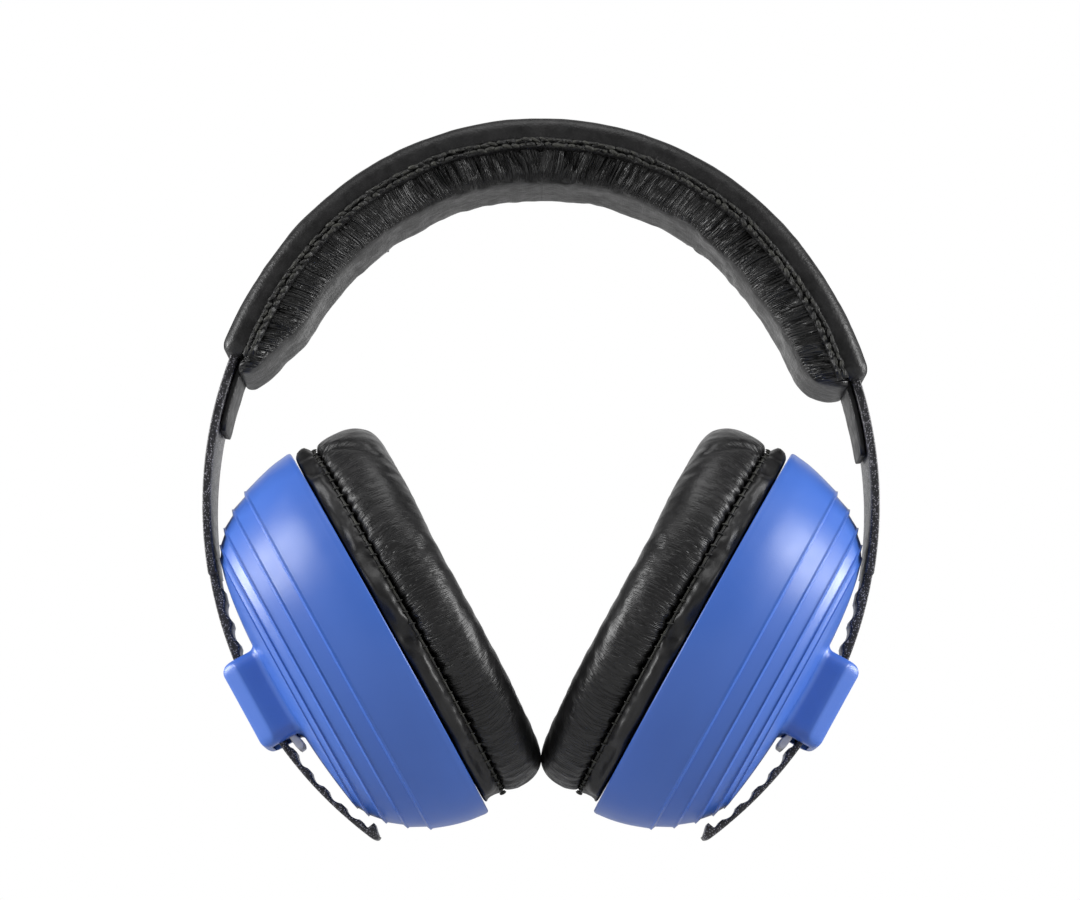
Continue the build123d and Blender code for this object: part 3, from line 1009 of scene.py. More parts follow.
def padStart():
    # a rounded rectangle carried along the sleeve, its underside tapered towards each end and
    # every end closed by a quarter circle
    size = padSize
    low, high = leftRun - size["leftReach"], rightRun + size["rightReach"]
    endRun, quarter = size["endRun"], np.linspace(0, math.pi / 2, size["endSteps"])
    run = [low + endRun * (1 - np.cos(quarter)), np.linspace(low + 5.5, high - 5.5, size["runSteps"])]
    run = np.concatenate(run + [high - endRun * (1 - np.cos(quarter[::-1]))])
    bottom, halfWidth = np.full(run.shape, size["bottom"]), np.full(run.shape, size["width"] / 2)
    for side, toEnd in (("left", run - low), ("right", high - run)):
        taperRun, taperDepth, roundRun = size["ends"][side]
        bottom = bottom - taperDepth * np.clip(1 - toEnd / taperRun, 0, 1) ** 1.15
        shrink = 1 - np.sqrt(np.clip(1 - (1 - np.clip(toEnd / roundRun, 0, 1)) ** 2, 0, 1))
        bottom = bottom + (size["thinEnd"] - bottom) * shrink
        halfWidth = halfWidth - size["endNarrow"] * shrink
    top = size["top"] - size["topRise"] * easeStep(-np.minimum(run - low, high - run), -6.0, -1.0)
    radius = np.minimum(size["round"], (bottom - top) / 2 * 0.98)
    across, depth = roundedLoop(halfWidth, top, bottom, radius, 5)
    return sweptMesh("headband_pad", turnAt(run * mm), across, depth)


def padWrinkles(mesh):
    # moves each point along its normal: 1 - 2 |noise| makes sharp folds across the sides, and plain
    # noise makes broad shallow ones under the head
    size = padSize
    points, normals = meshPoints(mesh), meshNormals(mesh)
    turn, depth = bandCoords(points)
    run, depth, across = runAt(turn) / mm, depth / mm, points[:, 1] / mm
    facing = np.abs(normals[:, 1])
    slant = run + size["slant"] * (depth - 6) * np.sign(run)
    drift = 0.5 * softNoise(run / 6, depth / 5, 51)
    fine = 1 - np.abs(softNoise(slant / 1.15 + drift, depth / 9.0 + np.sign(across) * 7, 52)) * 2
    medium = 1 - np.abs(softNoise(slant / 2.6 + drift, depth / 12.0 + np.sign(across) * 9, 53)) * 2
    patches = 0.55 + 0.45 * softNoise(run / 14, depth / 8 + np.sign(across) * 5, 54)
    sideShare = easeStep(facing, 0.35, 0.85)
    gather = easeStep(-depth, -11.5, -6.0)
    side = sideShare * patches * (0.55 * fine + 0.65 * medium) * size["wrinkle"] * (0.55 + 0.6 * gather)
    under = easeStep(1 - facing, 0.3, 0.8) * easeStep(depth, 7, 10)
    broad = softNoise(run / 9 + 0.3 * softNoise(across / 6, run / 12, 58), across / 16, 55) * size["fold"]
    broad = broad + size["ripple"] * softNoise(run / 2.4, across / 9, 56)
    corner = easeStep(depth, 8.5, 10.5) * easeStep(facing, 0.2, 0.6) * size["corner"]
    corner = corner * softNoise(run / 3.2, np.sign(across) * 4, 57)
    rise = side + under * broad * 0.8 + corner
    toEnd = np.minimum(run - leftRun + size["leftReach"], rightRun + size["rightReach"] - run)
    rise = rise * easeStep(depth, 4.2, 5.2) * (0.1 + 0.9 * easeStep(toEnd, 0.8, 4.5))
    setPoints(mesh, points + normals * rise[:, None] * mm)
    share = (0.06 + 0.94 * sideShare) * (0.5 + 0.5 * patches)
    setCreases(mesh, slant / 0.8 + drift, depth / 9.0 + np.sign(across) * 7, share)
    return mesh


def buildPad():
    # the start, remeshed, held by its top and puffed out by up to cap, then smoothed and wrinkled
    mesh = remeshed(padStart(), padSize["voxel"] * mm)
    depth = bandCoords(meshPoints(mesh))[1] / mm
    held = easeStep(-depth, -6.2, -4.8)
    mesh = puffed(mesh, held, padSize["cap"] * mm)
    mesh = subdivided(mesh, 2)
    return padWrinkles(mesh)


pad = addPiece("headband_pad", buildPad(), leatherPad, 180)
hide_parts("headband_pad_cover", "headband_pad_foam")
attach(pad, "headband")
print("headband pad made", len(pad.data.polygons))

# each knot of the shell is (out, half length, shift up) of one oval
shellSize = {
    "rimDifference": 10.8,
    "proportion": 0.68,
    "rim": (
        (0.0, 48.0, 0.0),
        (0.25, 48.25, 0.0),
        (0.8, 48.35, 0.0),
        (5.0, 47.8, 0.0),
        (9.0, 46.8, 0.0),
        (13.3, 45.38, 0.1),
    ),
    "steps": (
        ((13.3, 45.38, 0.1), (13.85, 45.50, 0.1), (14.3, 44.35, 0.1)),
        ((14.3, 44.35, 0.1), (17.9, 42.76, 0.4), (18.4, 42.87, 0.4), (18.85, 41.6, 0.4)),
        ((18.85, 41.6, 0.4), (21.8, 39.62, 0.7), (22.25, 39.75, 0.7), (22.7, 38.3, 0.7)),
        ((22.7, 38.3, 0.7), (24.6, 36.36, 0.9), (25.0, 36.48, 0.9), (25.4, 34.9, 0.9)),
        ((25.4, 34.9, 0.9), (26.15, 33.72, 1.0), (26.45, 33.72, 1.0), (26.85, 32.0, 1.0)),
    ),
    "face": (
        (26.85, 32.0, 1.0),
        (27.8, 27.0, 2.0),
        (28.75, 20.0, 3.0),
        (29.4, 12.0, 4.0),
        (29.6, 6.0, 4.0),
        (29.65, 0.05, 4.0),
    ),
    "hollow": (
        (0.0, 46.3, 0.0),
        (0.3, 45.95, 0.0),
        (9.0, 44.4, 0.0),
        (17.0, 40.6, 0.3),
        (22.4, 36.0, 0.7),
        (24.6, 32.2, 0.9),
        (25.6, 28.0, 1.2),
        (26.6, 20.0, 2.0),
        (27.2, 9.0, 3.0),
        (27.3, 0.05, 3.0),
    ),
    "around": 180,
}
blockSize = {
    "half": 11.0,
    "corner": 2.8,
    "face": 38.7,
    "longChamfer": 3.5,
    "endRound": 2.5,
    "flare": 1.6,
    "sunk": 0.9,
    "edgeSoft": 0.35,
    "middle": (8, 7, 1.4),
    "slotFloor": 30.0,
    "slotRoof": 36.7,
    "slotHalf": 6.1,
    "slotReach": 16,
    "saddle": (2.0, 1.0),
    "pivotOut": 31.8,
    "beadRadius": 1.25,
    "dimpleUp": 6.0,
    "dimpleAcross": 0.0,
    "dimpleRadius": 1.1,
    "dimpleLift": 0.15,
}


def smoothRun(knots, perSpan):
    # a curve through the knots whose slope at each is half the step between its neighbours (Catmull-Rom)
    knots = np.array(knots)
    padded = np.vstack([2 * knots[0] - knots[1], knots, 2 * knots[-1] - knots[-2]])
    t = np.linspace(0, 1, perSpan, endpoint=False)[:, None]
    spans = []
    for index in range(len(knots) - 1):
        a, b, c, d = padded[index : index + 4]
        square, cube = 2 * a - 5 * b + 4 * c - d, 3 * b - a - 3 * c + d
        spans.append(0.5 * (2 * b + (c - a) * t + square * t**2 + cube * t**3))
    return np.vstack(spans + [knots[-1:]])


def ovalRings(rings, around):
    # up = shift + half * cos, across = half width * sin, for each (out, half, shift)
    size = shellSize
    out, half, shift = [np.asarray(column)[:, None] for column in np.asarray(rings).T]
    halfWide = np.maximum(half - size["rimDifference"], half * size["proportion"])
    angle = np.linspace(0, 2 * math.pi, around, endpoint=False)[None, :]
    return shift + half * np.cos(angle), halfWide * np.sin(angle), out + 0 * angle


def closedRings(name, up, across, out):
    # a grid of rings in the cup's own lengths, closed at both ends by a flat face
    return closedTube(name, cupPoint(up, across, out))


def shellRings():
    # the outside from its middle to the rim, then the hollow from the rim to its middle
    size = shellSize
    outside = [smoothRun(size["rim"][2:], 5)]
    for band in size["steps"]:
        band = np.array(band)
        place = np.arange(len(band))
        corners, even = place[1:-1], np.linspace(place[0], place[-1], 4 * place[-1] + 1)
        fine = np.unique(np.concatenate([even, corners - 0.08, corners + 0.08]))
        outside.append(np.stack([np.interp(fine, place, column) for column in band.T], -1)[:-1])
    outside.append(smoothRun(size["face"], 5))
    outside = np.vstack(outside)[::-1]
    lip = np.array(size["rim"][:2])[::-1]
    hollow = np.vstack([np.array(size["hollow"][:1]), smoothRun(size["hollow"][1:], 4)])
    return np.vstack([outside, lip, hollow])


domeProfile = smoothRun(shellSize["face"], 12)


def domeHeight(up, across):
    # how far out the dome's face is over a place: out read at reach, the half length of the oval that
    # passes through it, found by a few rounds because the oval's shift depends on its reach
    size = shellSize
    knots = np.array(sorted(domeProfile.tolist(), key=lambda row: row[1]))
    steps = [knot for band in size["steps"][::-1] for knot in band[:-1][::-1]]
    knots = np.vstack([knots, np.array(steps)])
    reach = np.hypot(up - 2.5, across / size["proportion"])
    for _ in range(4):
        shift = np.interp(reach, knots[:, 1], knots[:, 2])
        reach = np.hypot(up - shift, across / size["proportion"])
    return np.interp(reach, knots[:, 1], knots[:, 0])


def plan(halfUp, halfAcross, corner, perSide=9, perCorner=5):
    # a rounded rectangle: corner centres plus corner * (cos, sin), with points along the straight sides
    up, across = [], []
    for quarter, (signUp, signAcross) in enumerate(((1, 1), (-1, 1), (-1, -1), (1, -1))):
        angle = np.radians(90 * quarter + np.linspace(0, 90, perCorner))
        cornerUp = signUp * (halfUp - corner) + corner * np.cos(angle)
        cornerAcross = signAcross * (halfAcross - corner) + corner * np.sin(angle)
        nextSigns = ((-1, 1), (-1, -1), (1, -1), (1, 1))[quarter]
        endUp = nextSigns[0] * (halfUp - corner) + corner * np.cos(angle[-1])
        endAcross = nextSigns[1] * (halfAcross - corner) + corner * np.sin(angle[-1])
        t = np.linspace(0, 1, perSide + 2)[1:-1]
        alongUp = cornerUp[-1] + (endUp - cornerUp[-1]) * t
        alongAcross = cornerAcross[-1] + (endAcross - cornerAcross[-1]) * t
        up.append(np.concatenate([cornerUp, alongUp]))
        across.append(np.concatenate([cornerAcross, alongAcross]))
    return np.concatenate(up), np.concatenate(across)


def blockTop(up, across):
    # the outer face less a 45 degree chamfer on the long sides, (past + sqrt(past ** 2 + soft ** 2)) / 2,
    # and less a quarter round at the ends
    size = blockSize
    flat, soft = size["half"] - size["longChamfer"], size["edgeSoft"]
    past = np.abs(across) - flat
    chamfer = 0.5 * (past + np.sqrt(past**2 + soft**2)) - 0.5 * (-flat + np.hypot(flat, soft))
    over = np.clip(np.abs(up) - (size["half"] - size["endRound"]), 0, size["endRound"])
    rounded = size["endRound"] - np.sqrt(np.maximum(size["endRound"] ** 2 - over**2, 0.0))
    return size["face"] - np.maximum(chamfer, 0) - rounded * 0.85


def blockMesh():
    # rings of a rounded square: sunk in the dome, flared out on it by a quarter circle, up the wall, over
    # the edge and in to the middle
    size = blockSize
    rings = []
    for offset, rise in ((size["flare"] * 1.15, -size["sunk"]), (size["flare"] * 1.15, -0.05)):
        up, across = plan(size["half"] + offset, size["half"] + offset, size["corner"] + offset)
        rings.append((up, across, domeHeight(up, across) + rise))
    for angle in np.linspace(0.15, math.pi / 2, 8):
        offset, rise = size["flare"] * (1 - math.sin(angle)), size["flare"] * (1 - math.cos(angle))
        up, across = plan(size["half"] + offset, size["half"] + offset, size["corner"] + offset)
        rings.append((up, across, domeHeight(up, across) + rise))
    up, across = plan(size["half"], size["half"], size["corner"])
    foot, edge = domeHeight(up, across) + size["flare"], blockTop(up, across) - size["edgeSoft"]
    for share in (0.25, 0.5, 0.75, 1.0):
        rings.append((up, across, foot + (edge - foot) * share))
    for inset, drop in ((0.06, 0.16), (0.2, 0.0)):
        up, across = plan(size["half"] - inset, size["half"] - inset, size["corner"] - inset * 0.5)
        rings.append((up, across, blockTop(up, across) - drop))
    for share in (0.2, 0.4, 0.6, 0.8, 0.9, 1.0, 1.1):
        halfUp = size["half"] - size["endRound"] * share
        halfAcross = size["half"] - size["longChamfer"] * share
        up, across = plan(halfUp, halfAcross, size["corner"] * (1 - 0.5 * min(share, 1)))
        rings.append((up, across, blockTop(up, across)))
    for share in (0.8, 0.55, 0.3, 0.05):
        up, across = plan(*[share * length for length in size["middle"]])
        rings.append((up, across, blockTop(up, across)))
    up, across, out = [np.array(part) for part in zip(*rings)]
    return closedRings("block", up, across, out)


def slotMesh():
    # the slot's outline in up and out, with the saddle and the clip's pocket, drawn out across the block
    size = blockSize
    angle = np.radians(np.linspace(-140, -40, 11))
    pocketUp = size["beadRadius"] * np.cos(angle)
    pocketOut = size["pivotOut"] + size["beadRadius"] * np.sin(angle)
    saddleHalf, saddleRise = size["saddle"]
    floor, roof = size["slotFloor"], size["slotRoof"]
    end, saddle = size["slotReach"], floor + saddleRise
    lastUp = [saddleHalf, saddleHalf, end, end, -end]
    up = np.concatenate([[-end, -saddleHalf, -saddleHalf], pocketUp, lastUp])
    out = np.concatenate([[floor, floor, saddle], pocketOut, [saddle, floor, floor, roof, roof]])
    across = size["slotHalf"] * np.array([[-1.0], [1.0]])
    return closedRings("slot", up, across, out)


def dimpleMesh():
    # a small ball, radius * (sin cos, sin sin, cos), to sink in the housing's face
    size = blockSize
    polar = np.linspace(0.02, math.pi - 0.02, 15)[:, None]
    angle = np.linspace(0, 2 * math.pi, 24, endpoint=False)[None, :]
    radius = size["dimpleRadius"]
    up = size["dimpleUp"] + radius * np.sin(polar) * np.cos(angle)
    across = size["dimpleAcross"] + radius * np.sin(polar) * np.sin(angle)
    return closedRings("dimple", up, across, size["face"] + size["dimpleLift"] + radius * np.cos(polar))


def shellMesh(side):
    # the walled dome joined with the block, then cut by the slot, and by the dimple on the right
    dome = closedRings(f"shell_{side}", *ovalRings(shellRings(), shellSize["around"]))
    mesh = cut(dome, blockMesh(), "UNION")
    mesh = cut(mesh, slotMesh(), "DIFFERENCE")
    if side == "right":
        mesh = cut(mesh, dimpleMesh(), "DIFFERENCE")
        mesh = mirroredMesh(mesh, "shell_right")
    work = bmesh.new()
    work.from_mesh(mesh)
    bmesh.ops.remove_doubles(work, verts=work.verts, dist=1e-6)
    openEdges = sum(1 for edge in work.edges if not edge.is_manifold)
    work.to_mesh(mesh)
    work.free()
    print("  shell", side, len(mesh.polygons), "faces,", openEdges, "open edges")
    return mesh


for side in sides:
    shell = addPiece(f"shell_{side}", shellMesh(side), shellBlue, 24)
    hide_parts(f"{side}_cup_shell")
    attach(shell, f"{side}_cup")
    for node, material in (("retaining_clip", clipGrey), ("seal_plate", innerBlack)):
        carried = frame["nodes"][f"{side}_{node}"].data
        carried.materials.clear()
        carried.materials.append(material)

tailSize = {
    "start": 5.2,
    "end": 8.8,
    "top": 2.75,
    "bottom": 4.35,
    "deepen": 0.4,
    "deepenFrom": 7.0,
    "deepenTo": 7.4,
    "width": 11.6,
    "edgeRound": 0.4,
    "ease": (0.45, 0.1, 0, 0, 0, 0, 0, 0, 0, 0, 0.12, 0.5),
}


def tailMesh(side):
    # the clip's lower end: a rounded rectangle, less ease at its two ends, carried along the arm's arc
    # from start to end degrees past the clip's middle
    size = tailSize
    middle = 90 + stripSize["notchCentre"]
    ease = np.array(size["ease"])
    turns = np.linspace(middle + size["start"], middle + size["end"], len(ease))
    bottom = size["bottom"] + size["deepen"] * easeStep(turns - middle, size["deepenFrom"], size["deepenTo"])
    halfWidth, top = size["width"] / 2 - ease, size["top"] + ease * 0.5
    across, depth = roundedLoop(halfWidth, top, bottom - ease, size["edgeRound"], 4)
    return sweptMesh(f"clip_end_{side}", sideSign[side] * turns, across, depth)


for side in sides:
    tail = addPiece(f"clip_end_{side}", tailMesh(side), clipGrey, 50)
    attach(tail, f"{side}_slider")
print("cup shells made")

cushionSize = {
    "opening": (26.0, 17.2),
    "outside": (47.0, 36.2),
    "loop": (
        (0.955, -5.6),
        (0.985, -7.5),
        (0.990, -11.0),
        (0.965, -14.2),
        (0.885, -16.9),
        (0.760, -18.0),
        (0.560, -18.2),
        (0.340, -18.0),
        (0.180, -17.2),
        (0.075, -15.2),
        (0.050, -12.0),
        (0.060, -8.5),
        (0.120, -5.9),
        (0.340, -5.3),
        (0.560, -5.3),
        (0.800, -5.3),
    ),
    "topFat": 1.3,
    "lowThin": 0.6,
    "voxel": 1.7,
    "cap": 1.3,
    "pucker": 0.9,
    "fine": 0.11,
    "crease": 1.1,
    "around": 140,
    "creaseStart": 14.0,
    "creaseWidth": 1.5,
    "faceWrinkle": 0.10,
    "puckerRun": 1.5,
    "seamOut": -5.0,
}
seamPuckers = 86


def ringPoint(share, angle, out):
    # half lengths = opening + share * (outside - opening), times cos and sin of the angle
    size = cushionSize
    halfUp = size["opening"][0] + share * (size["outside"][0] - size["opening"][0])
    halfAcross = size["opening"][1] + share * (size["outside"][1] - size["opening"][1])
    return halfUp * np.cos(angle), halfAcross * np.sin(angle), out


def ringMesh(name, share, angle, out):
    # a loop of share and out carried round the oval
    points = cupPoint(*ringPoint(share, angle, out))
    rows, columns = points.shape[:2]
    return makeMesh(name, points, gridQuads(rows, columns, True).tolist())


def cushionStart():
    # the body's loop carried round the oval, thicker by topFat at the upper end, thinner by lowThin below
    angle = np.linspace(0, 2 * math.pi, cushionSize["around"], endpoint=False)[:, None]
    share, out = [np.array(part)[None, :] for part in zip(*cushionSize["loop"])]
    topShare = easeStep(np.cos(angle), 0.1, 0.95)
    lowShare = easeStep(-np.cos(angle), 0.55, 1.0)
    thicker = cushionSize["lowThin"] * lowShare - cushionSize["topFat"] * topShare
    out = out + thicker * easeStep(-out, 8, 17)
    return ringMesh("cushion", share + 0 * angle, angle, out)


def ovalAngle(up, across):
    # angle = atan2(across / half width, up / half length); distance round = sum of the oval's short steps
    halfUp, halfAcross = cushionSize["outside"]
    angle = np.arctan2(across / halfAcross, up / halfUp)
    table = np.linspace(-math.pi, math.pi, 721)
    step = np.hypot(halfUp * np.sin(table), halfAcross * np.cos(table)) * (table[1] - table[0])
    return angle, np.interp(angle, table, np.cumsum(step) - step[0])


ovalEnd = np.array([-cushionSize["outside"][0]])
ovalLength = float(ovalAngle(ovalEnd, np.array([1e-6]))[1][0])


def cushionWrinkles(mesh):
    # moves each point along its normal: puckers |cos| ** 3 that fade by exp(-distance from the seam),
    # fine cross wrinkles 1 - 2 |noise| lower down, and a curved fold over the upper end
    size = cushionSize
    points, normals = meshPoints(mesh), meshNormals(mesh)
    up, across, out = cupCoords(points)
    distance = ovalAngle(up, across)[1]
    phase = distance / ovalLength * seamPuckers
    outward = np.hypot(up / size["outside"][0], across / size["outside"][1])
    onSide = easeStep(outward, 0.80, 0.93)
    fromSeam = np.clip(size["seamOut"] - out, 0, None)
    bunch = 0.75 + 0.5 * softNoise(phase / 4, 0.5, 61, seamPuckers)
    pucker = -size["pucker"] * bunch * np.exp(-fromSeam / size["puckerRun"])
    pucker = pucker * np.abs(np.cos(math.pi * phase)) ** 3
    lower = easeStep(-up, -34, -8)
    bentTwice = phase * 2 + 0.8 * softNoise(phase, fromSeam / 3, 63)
    bentOnce = phase + 0.8 * softNoise(phase, fromSeam / 3, 65)
    ridges = 1 - 2 * np.abs(softNoise(bentTwice, fromSeam / 7, 62))
    sharp = 1 - 2 * np.abs(softNoise(bentOnce, fromSeam / 9, 64))
    band = easeStep(fromSeam, 0.3, 2.0) * easeStep(-fromSeam, -13.0, -7.0)
    patch = 0.5 + 0.5 * softNoise(phase / 6, fromSeam / 6, 66, seamPuckers)
    fine = size["fine"] * (ridges + 0.9 * sharp) * band * (0.25 + 0.75 * lower) * (0.4 + 0.8 * patch)
    soft = 0.10 * softNoise(up / 6, out / 5 + across / 7, 67)
    soft = soft + 0.04 * softNoise(up / 2.5, out / 3 + across / 3, 68)
    line = np.abs(across) - (size["creaseStart"] + 0.75 * (fromSeam - 4)) - 0.10 * (46 - up)
    atTop = easeStep(up, 33, 40) * onSide
    valley = -size["crease"] * atTop * np.exp(-((line / size["creaseWidth"]) ** 2)) * 0.55
    fold = valley + 0.5 * size["crease"] * atTop * easeStep(-line, -1.2, 1.6)
    rise = (pucker + fine) * onSide + soft + fold * easeStep(fromSeam, 0.5, 2)
    face = easeStep(-out, 14.5, 17.5) * (1 - onSide)
    rise = rise + face * size["faceWrinkle"] * (1 - 2 * np.abs(softNoise(phase / 1.1, outward * 5, 69)))
    setPoints(mesh, points + normals * rise[:, None] * mm)
    reach = easeStep(-fromSeam, -12.0, -5.0) * (0.45 + 0.55 * lower) * onSide
    along = distance / 0.75 + 0.4 * softNoise(phase, fromSeam / 4, 60)
    setCreases(mesh, along, fromSeam / 8.0, 0.04 + 0.90 * reach * (0.45 + 0.55 * patch))
    return mesh


def buildCushion():
    # the start, remeshed, held by its back and puffed out by up to cap, then smoothed and wrinkled
    mesh = remeshed(cushionStart(), cushionSize["voxel"] * mm)
    out = cupCoords(meshPoints(mesh))[2]
    held = easeStep(out, -8.0, -5.8)
    mesh = puffed(mesh, held, cushionSize["cap"] * mm)
    mesh = subdivided(mesh, 2)
    return cushionWrinkles(mesh)


skirtSize = {
    "top": -0.35,
    "bottom": -4.9,
    "ruffle": 1.9,
    "count": 20,
    "around": 900,
    "shareLength": 20.0,
    "pucker": 0.2,
    "edgeWave": 0.16,
    "outline": (
        (0.925, 0.0),
        (0.957, 0.10),
        (0.975, 0.45),
        (0.982, 1.0),
        (0.984, 1.7),
        (0.983, 2.4),
        (0.980, 3.1),
        (0.972, 3.7),
        (0.958, 4.2),
    ),
}


def skirtMesh():
    # the lip's loop carried round the oval: a rolled edge by the shell, an outer face moved outwards
    # by ruffle * noise, and tucked in by |cos| ** 2 at each of the seam's puckers
    size = skirtSize
    top, bottom = size["top"], size["bottom"]
    angle = np.linspace(0, 2 * math.pi, size["around"], endpoint=False)
    up, across, _ = ringPoint(1.0, angle, 0)
    distance = ovalAngle(up, across)[1]
    phase = (distance / ovalLength * seamPuckers)[:, None]
    position = (distance / ovalLength * size["count"])[:, None]
    loop = [(0.30, top)] + [(share, top - drop) for share, drop in size["outline"]]
    loop = np.array(loop + [(0.930, bottom), (0.30, bottom)])
    share, out = loop[:, 0][None, :], loop[:, 1][None, :]
    hold = easeStep(share, 0.90, 0.965)
    middle = easeStep(-out, 0.3, 1.5) * easeStep(out, -4.9, -3.4)
    ruffle = softNoise(position * 2, out / 3.4, 71, 2 * size["count"]) * 0.85
    ruffle = ruffle + 0.13 * softNoise(phase, out / 2.2, 72, seamPuckers)
    pucker = -size["pucker"] * np.abs(np.cos(math.pi * phase)) ** 2 * easeStep(-out, 2.9, 4.6)
    moved = (size["ruffle"] * ruffle * (0.35 + 0.65 * middle) + pucker) * hold
    edgeWave = size["edgeWave"] * softNoise(position * 1.5 + 3, 0.5, 73, 30)
    edgeWave = edgeWave * easeStep(out, -2.0, -0.4) * hold
    return ringMesh("lip", share + moved / size["shareLength"], angle[:, None], out - np.abs(edgeWave))


seamSize = {
    "out": -5.05,
    "half": (45.7, 34.9),
    "cord": 0.34,
    "stitch": 1.5,
    "radius": 0.21,
    "count": seamPuckers,
    "around": 420,
}


def seamMesh():
    # a thin cord in the groove, radius * (1 + 0.15 sin), with a capsule over it at each pucker, its
    # place, lean, length and radius each drawn evenly from a small span
    size = seamSize
    halfUp, halfAcross = size["half"]
    angle = np.linspace(0, 2 * math.pi, size["around"], endpoint=False)[:, None]
    turn = np.linspace(0, 2 * math.pi, 8, endpoint=False)[None, :]
    radius = size["cord"] * (1 + 0.15 * np.sin(angle * size["count"]))
    up = (halfUp + radius * np.cos(turn)) * np.cos(angle)
    across = (halfAcross + radius * np.cos(turn)) * np.sin(angle)
    cord = cupPoint(up, across, size["out"] + radius * np.sin(turn)).reshape(-1, 3)
    cordFaces = gridQuads(angle.size, turn.size, True).tolist()
    rng = np.random.default_rng(81)
    table = np.linspace(-math.pi, math.pi, 721)
    tableUp, tableAcross, _ = ringPoint(1.0, table, 0)
    length = ovalAngle(tableUp, tableAcross)[1]
    number = np.arange(size["count"]) + rng.uniform(-0.08, 0.08, size["count"])
    place = np.interp(number / size["count"] * ovalLength, length, table)
    up, across = (halfUp + 0.5) * np.cos(place), (halfAcross + 0.5) * np.sin(place)
    centre = cupPoint(up, across, size["out"] + 0 * up)
    outside = cupPoint(up * 1.1, across * 1.1, size["out"] + 0 * up) - centre
    lean = rng.uniform(-0.25, 0.25, size["count"])
    around = cupPoint(-halfUp * np.sin(place), halfAcross * np.cos(place), 0 * up) - rimCentre
    around /= np.linalg.norm(around, axis=1, keepdims=True)
    along = around * (0.35 + lean[:, None]) + cupOut[None, :]
    lengths = size["stitch"] * mm * rng.uniform(0.85, 1.15, size["count"])
    radii = size["radius"] * mm * rng.uniform(0.85, 1.15, size["count"])
    points, faces = capsules(centre, along, outside, lengths, radii)
    faces = [[index + len(cord) for index in face] for face in faces]
    return makeMesh("seam", np.vstack([cord, points]), cordFaces + faces)


leftMeshes = {
    "cushion": (buildCushion(), leatherCushion, "leatherette", 180),
    "lip": (skirtMesh(), leatherLip, "leatherette", 60),
    "seam": (seamMesh(), threadBlack, "thread", 60),
}
standsFor = {
    "cushion": ("cushion_cover", "cushion_foam"),
    "lip": ("cushion_skirt",),
    "seam": ("cushion_seam",),
    "absorber": ("acoustic_foam",),
    "scrim": ("foam_scrim",),
}
print("cushion made", len(leftMeshes["cushion"][0].polygons))

absorberSize = {
    "rings": ((10.0, 42.6, 0.0), (10.2, 42.9, 0.0), (17.0, 39.8, 0.3), (22.3, 34.2, 0.7), (22.9, 33.2, 0.7)),
    "near": 10.0,
    "far": 22.9,
    "quilt": 0.25,
    "around": 140,
}
scrimSize = {"half": 43.2, "out": 9.35, "thickness": 0.45, "wave": 0.18, "around": 140}


def absorberMesh():
    # stacked ovals, both faces filled in with ovals shrunk towards the middle, the near one quilted by
    # quilt * noise that fades at its edge
    size = absorberSize
    up, across, out = ovalRings(size["rings"], size["around"])
    inner = np.linspace(0.95, 0.02, 16)[:, None]
    nearUp, nearAcross = up[:1] * inner, across[:1] * inner
    nearOut = size["near"] + size["quilt"] * softNoise(nearUp / 3, nearAcross / 3, 91) * (1 - inner**6)
    farUp, farAcross = up[-1:] * inner, across[-1:] * inner
    farOut = size["far"] + 0 * farUp
    up = np.vstack([nearUp[::-1], up, farUp])
    across = np.vstack([nearAcross[::-1], across, farAcross])
    out = np.vstack([nearOut[::-1], out, farOut])
    return closedRings("absorber", up, across, out)


def scrimMesh():
    # an oval of cloth, out + wave * noise that fades at its edge, with up and across kept as its UV map
    size = scrimSize
    reach = np.concatenate([np.linspace(0.02, 0.97, 26), [0.99, 1.0]])[:, None]
    up, across, _ = ovalRings([(size["out"], size["half"], 0.0)], size["around"])
    up, across = up * reach, across * reach
    near = size["out"] + size["wave"] * softNoise(up / 8, across / 8, 92) * (1 - reach**8)
    far = near + size["thickness"]
    up, across = np.vstack([up, up[::-1]]), np.vstack([across, across[::-1]])
    mesh = closedRings("scrim", up, across, np.vstack([near, far[::-1]]))
    corners = np.zeros(len(mesh.loops), int)
    mesh.loops.foreach_get("vertex_index", corners)
    flat = np.stack([up.reshape(-1), across.reshape(-1)], -1)[corners]
    layer = mesh.uv_layers.new(name="cloth")
    layer.data.foreach_set("uv", flat.reshape(-1))
    return mesh


leftMeshes["absorber"] = (absorberMesh(), foamGrey, "foam", 40)
leftMeshes["scrim"] = (scrimMesh(), scrimBlack, "scrim_cloth", 40)
for kind, (mesh, material, slotName, smoothAngle) in leftMeshes.items():
    for side in sides:
        own = mesh if side == "left" else mirroredMesh(mesh, f"{kind}_right")
        piece = addPiece(f"{kind}_{side}", own, material, smoothAngle)
        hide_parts(*[f"{side}_{node}" for node in standsFor[kind]])
        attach(piece, f"{side}_cup")
print("cushions and cup linings made")

studio = {
    "floorHeight": -0.20,
    "floorSize": 6.0,
    "distance": 0.85,
    "elevation": -8.5,
    "lens": 119.5,
    "sensor": 36,
    "aimRise": 0.0077,
    "aimAcross": -0.00024,
    "worldLight": 0.15,
    "lights": (
        ("leftLight", (-1.10, -0.36, 0.34), 0.55, 13.0),
        ("rightLight", (1.10, -0.36, 0.34), 0.55, 13.0),
        ("leftFill", (-1.10, 0.30, -0.04), 0.40, 8.0),
        ("rightFill", (1.10, 0.30, -0.04), 0.40, 8.0),
        ("topLight", (0.0, -0.35, 1.0), 0.8, 5.5),
        ("backLight", (0.0, 0.9, 0.35), 1.0, 2.5),
    ),
}
middle = np.array([(low + high) / 2 for low, high in zip(*cadBounds)])


def toTrack(direction):
    # the turn that points -Z along a direction
    return Vector(direction).to_track_quat("-Z", "Y").to_euler()


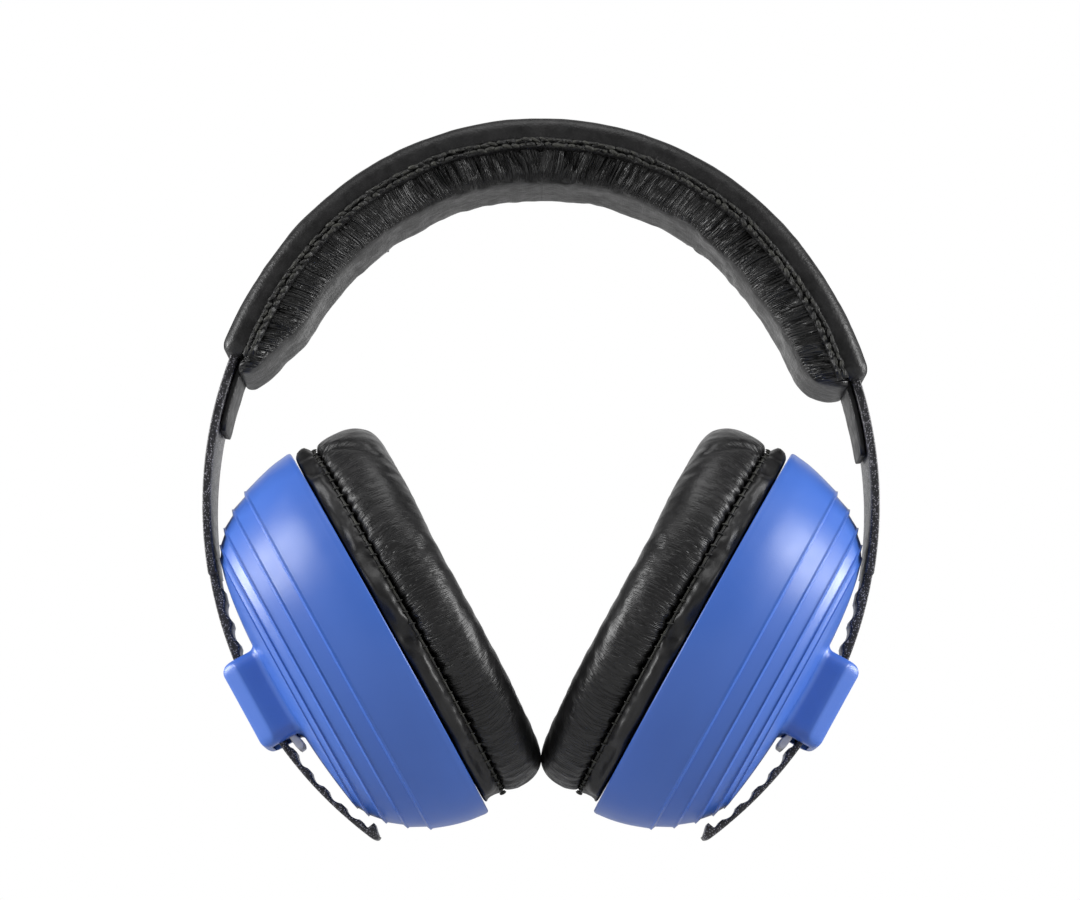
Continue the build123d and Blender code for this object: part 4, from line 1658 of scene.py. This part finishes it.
def studioLight(name, place, width, watts):
    # a square soft light whose -Z points at the object's middle
    light = bpy.data.lights.new(name, "AREA")
    light.shape, light.size, light.energy = "SQUARE", width, watts
    lamp = bpy.data.objects.new(name, light)
    bpy.context.scene.collection.objects.link(lamp)
    lamp.location = place
    lamp.visible_camera = False
    lamp.rotation_euler = toTrack(middle - np.array(place))


for light in studio["lights"]:
    studioLight(*light)

half = studio["floorSize"] / 2
floorCorners = ((-half, -half), (half, -half), (half, half), (-half, half))
floorPoints = [(x, y, studio["floorHeight"]) for x, y in floorCorners]
floorMesh = bpy.data.meshes.new("floor")
floorMesh.from_pydata(floorPoints, [], [[0, 1, 2, 3]])
floor = bpy.data.objects.new("floor", floorMesh)
bpy.context.scene.collection.objects.link(floor)
floorLook = {
    "dark": (0.46, 0.46, 0.46),
    "light": (0.50, 0.50, 0.50),
    "patchScale": 3,
    "roughness": (0.7, 0.85),
    "wearScale": 8,
    "grainScale": 400,
    "grainDepth": 0.0001,
}
floorMesh.materials.append(makeMaterial("floorPale", floorLook))

# the camera sees a white background; everything else is lit by worldLight
world = bpy.data.worlds.new("studio")
bpy.context.scene.world = world
world.use_nodes = True
worldNodes, worldLinks = world.node_tree.nodes, world.node_tree.links
seen, lit = worldNodes["Background"], worldNodes.new("ShaderNodeBackground")
seen.inputs["Color"].default_value = (1, 1, 1, 1)
lit.inputs["Color"].default_value = (1, 1, 1, 1)
lit.inputs["Strength"].default_value = studio["worldLight"]
rays, choose = worldNodes.new("ShaderNodeLightPath"), worldNodes.new("ShaderNodeMixShader")
worldLinks.new(rays.outputs["Is Camera Ray"], choose.inputs[0])
worldLinks.new(lit.outputs[0], choose.inputs[1])
worldLinks.new(seen.outputs[0], choose.inputs[2])
worldLinks.new(choose.outputs[0], worldNodes["World Output"].inputs["Surface"])

lens = bpy.data.cameras.new("camera")
camera = bpy.data.objects.new("camera", lens)
bpy.context.scene.collection.objects.link(camera)
lens.lens, lens.sensor_width = studio["lens"], studio["sensor"]
elevation = math.radians(studio["elevation"])
aim = middle + np.array([studio["aimAcross"] - middle[0], 0.0, studio["aimRise"]])
back = np.array([0.0, -math.cos(elevation), math.sin(elevation)])
camera.location = aim + back * studio["distance"]
camera.rotation_euler = toTrack(-back)
bpy.context.scene.camera = camera
bpy.context.scene.view_settings.view_transform = "Standard"
bpy.context.scene.view_settings.look = "None"

print("studio made")
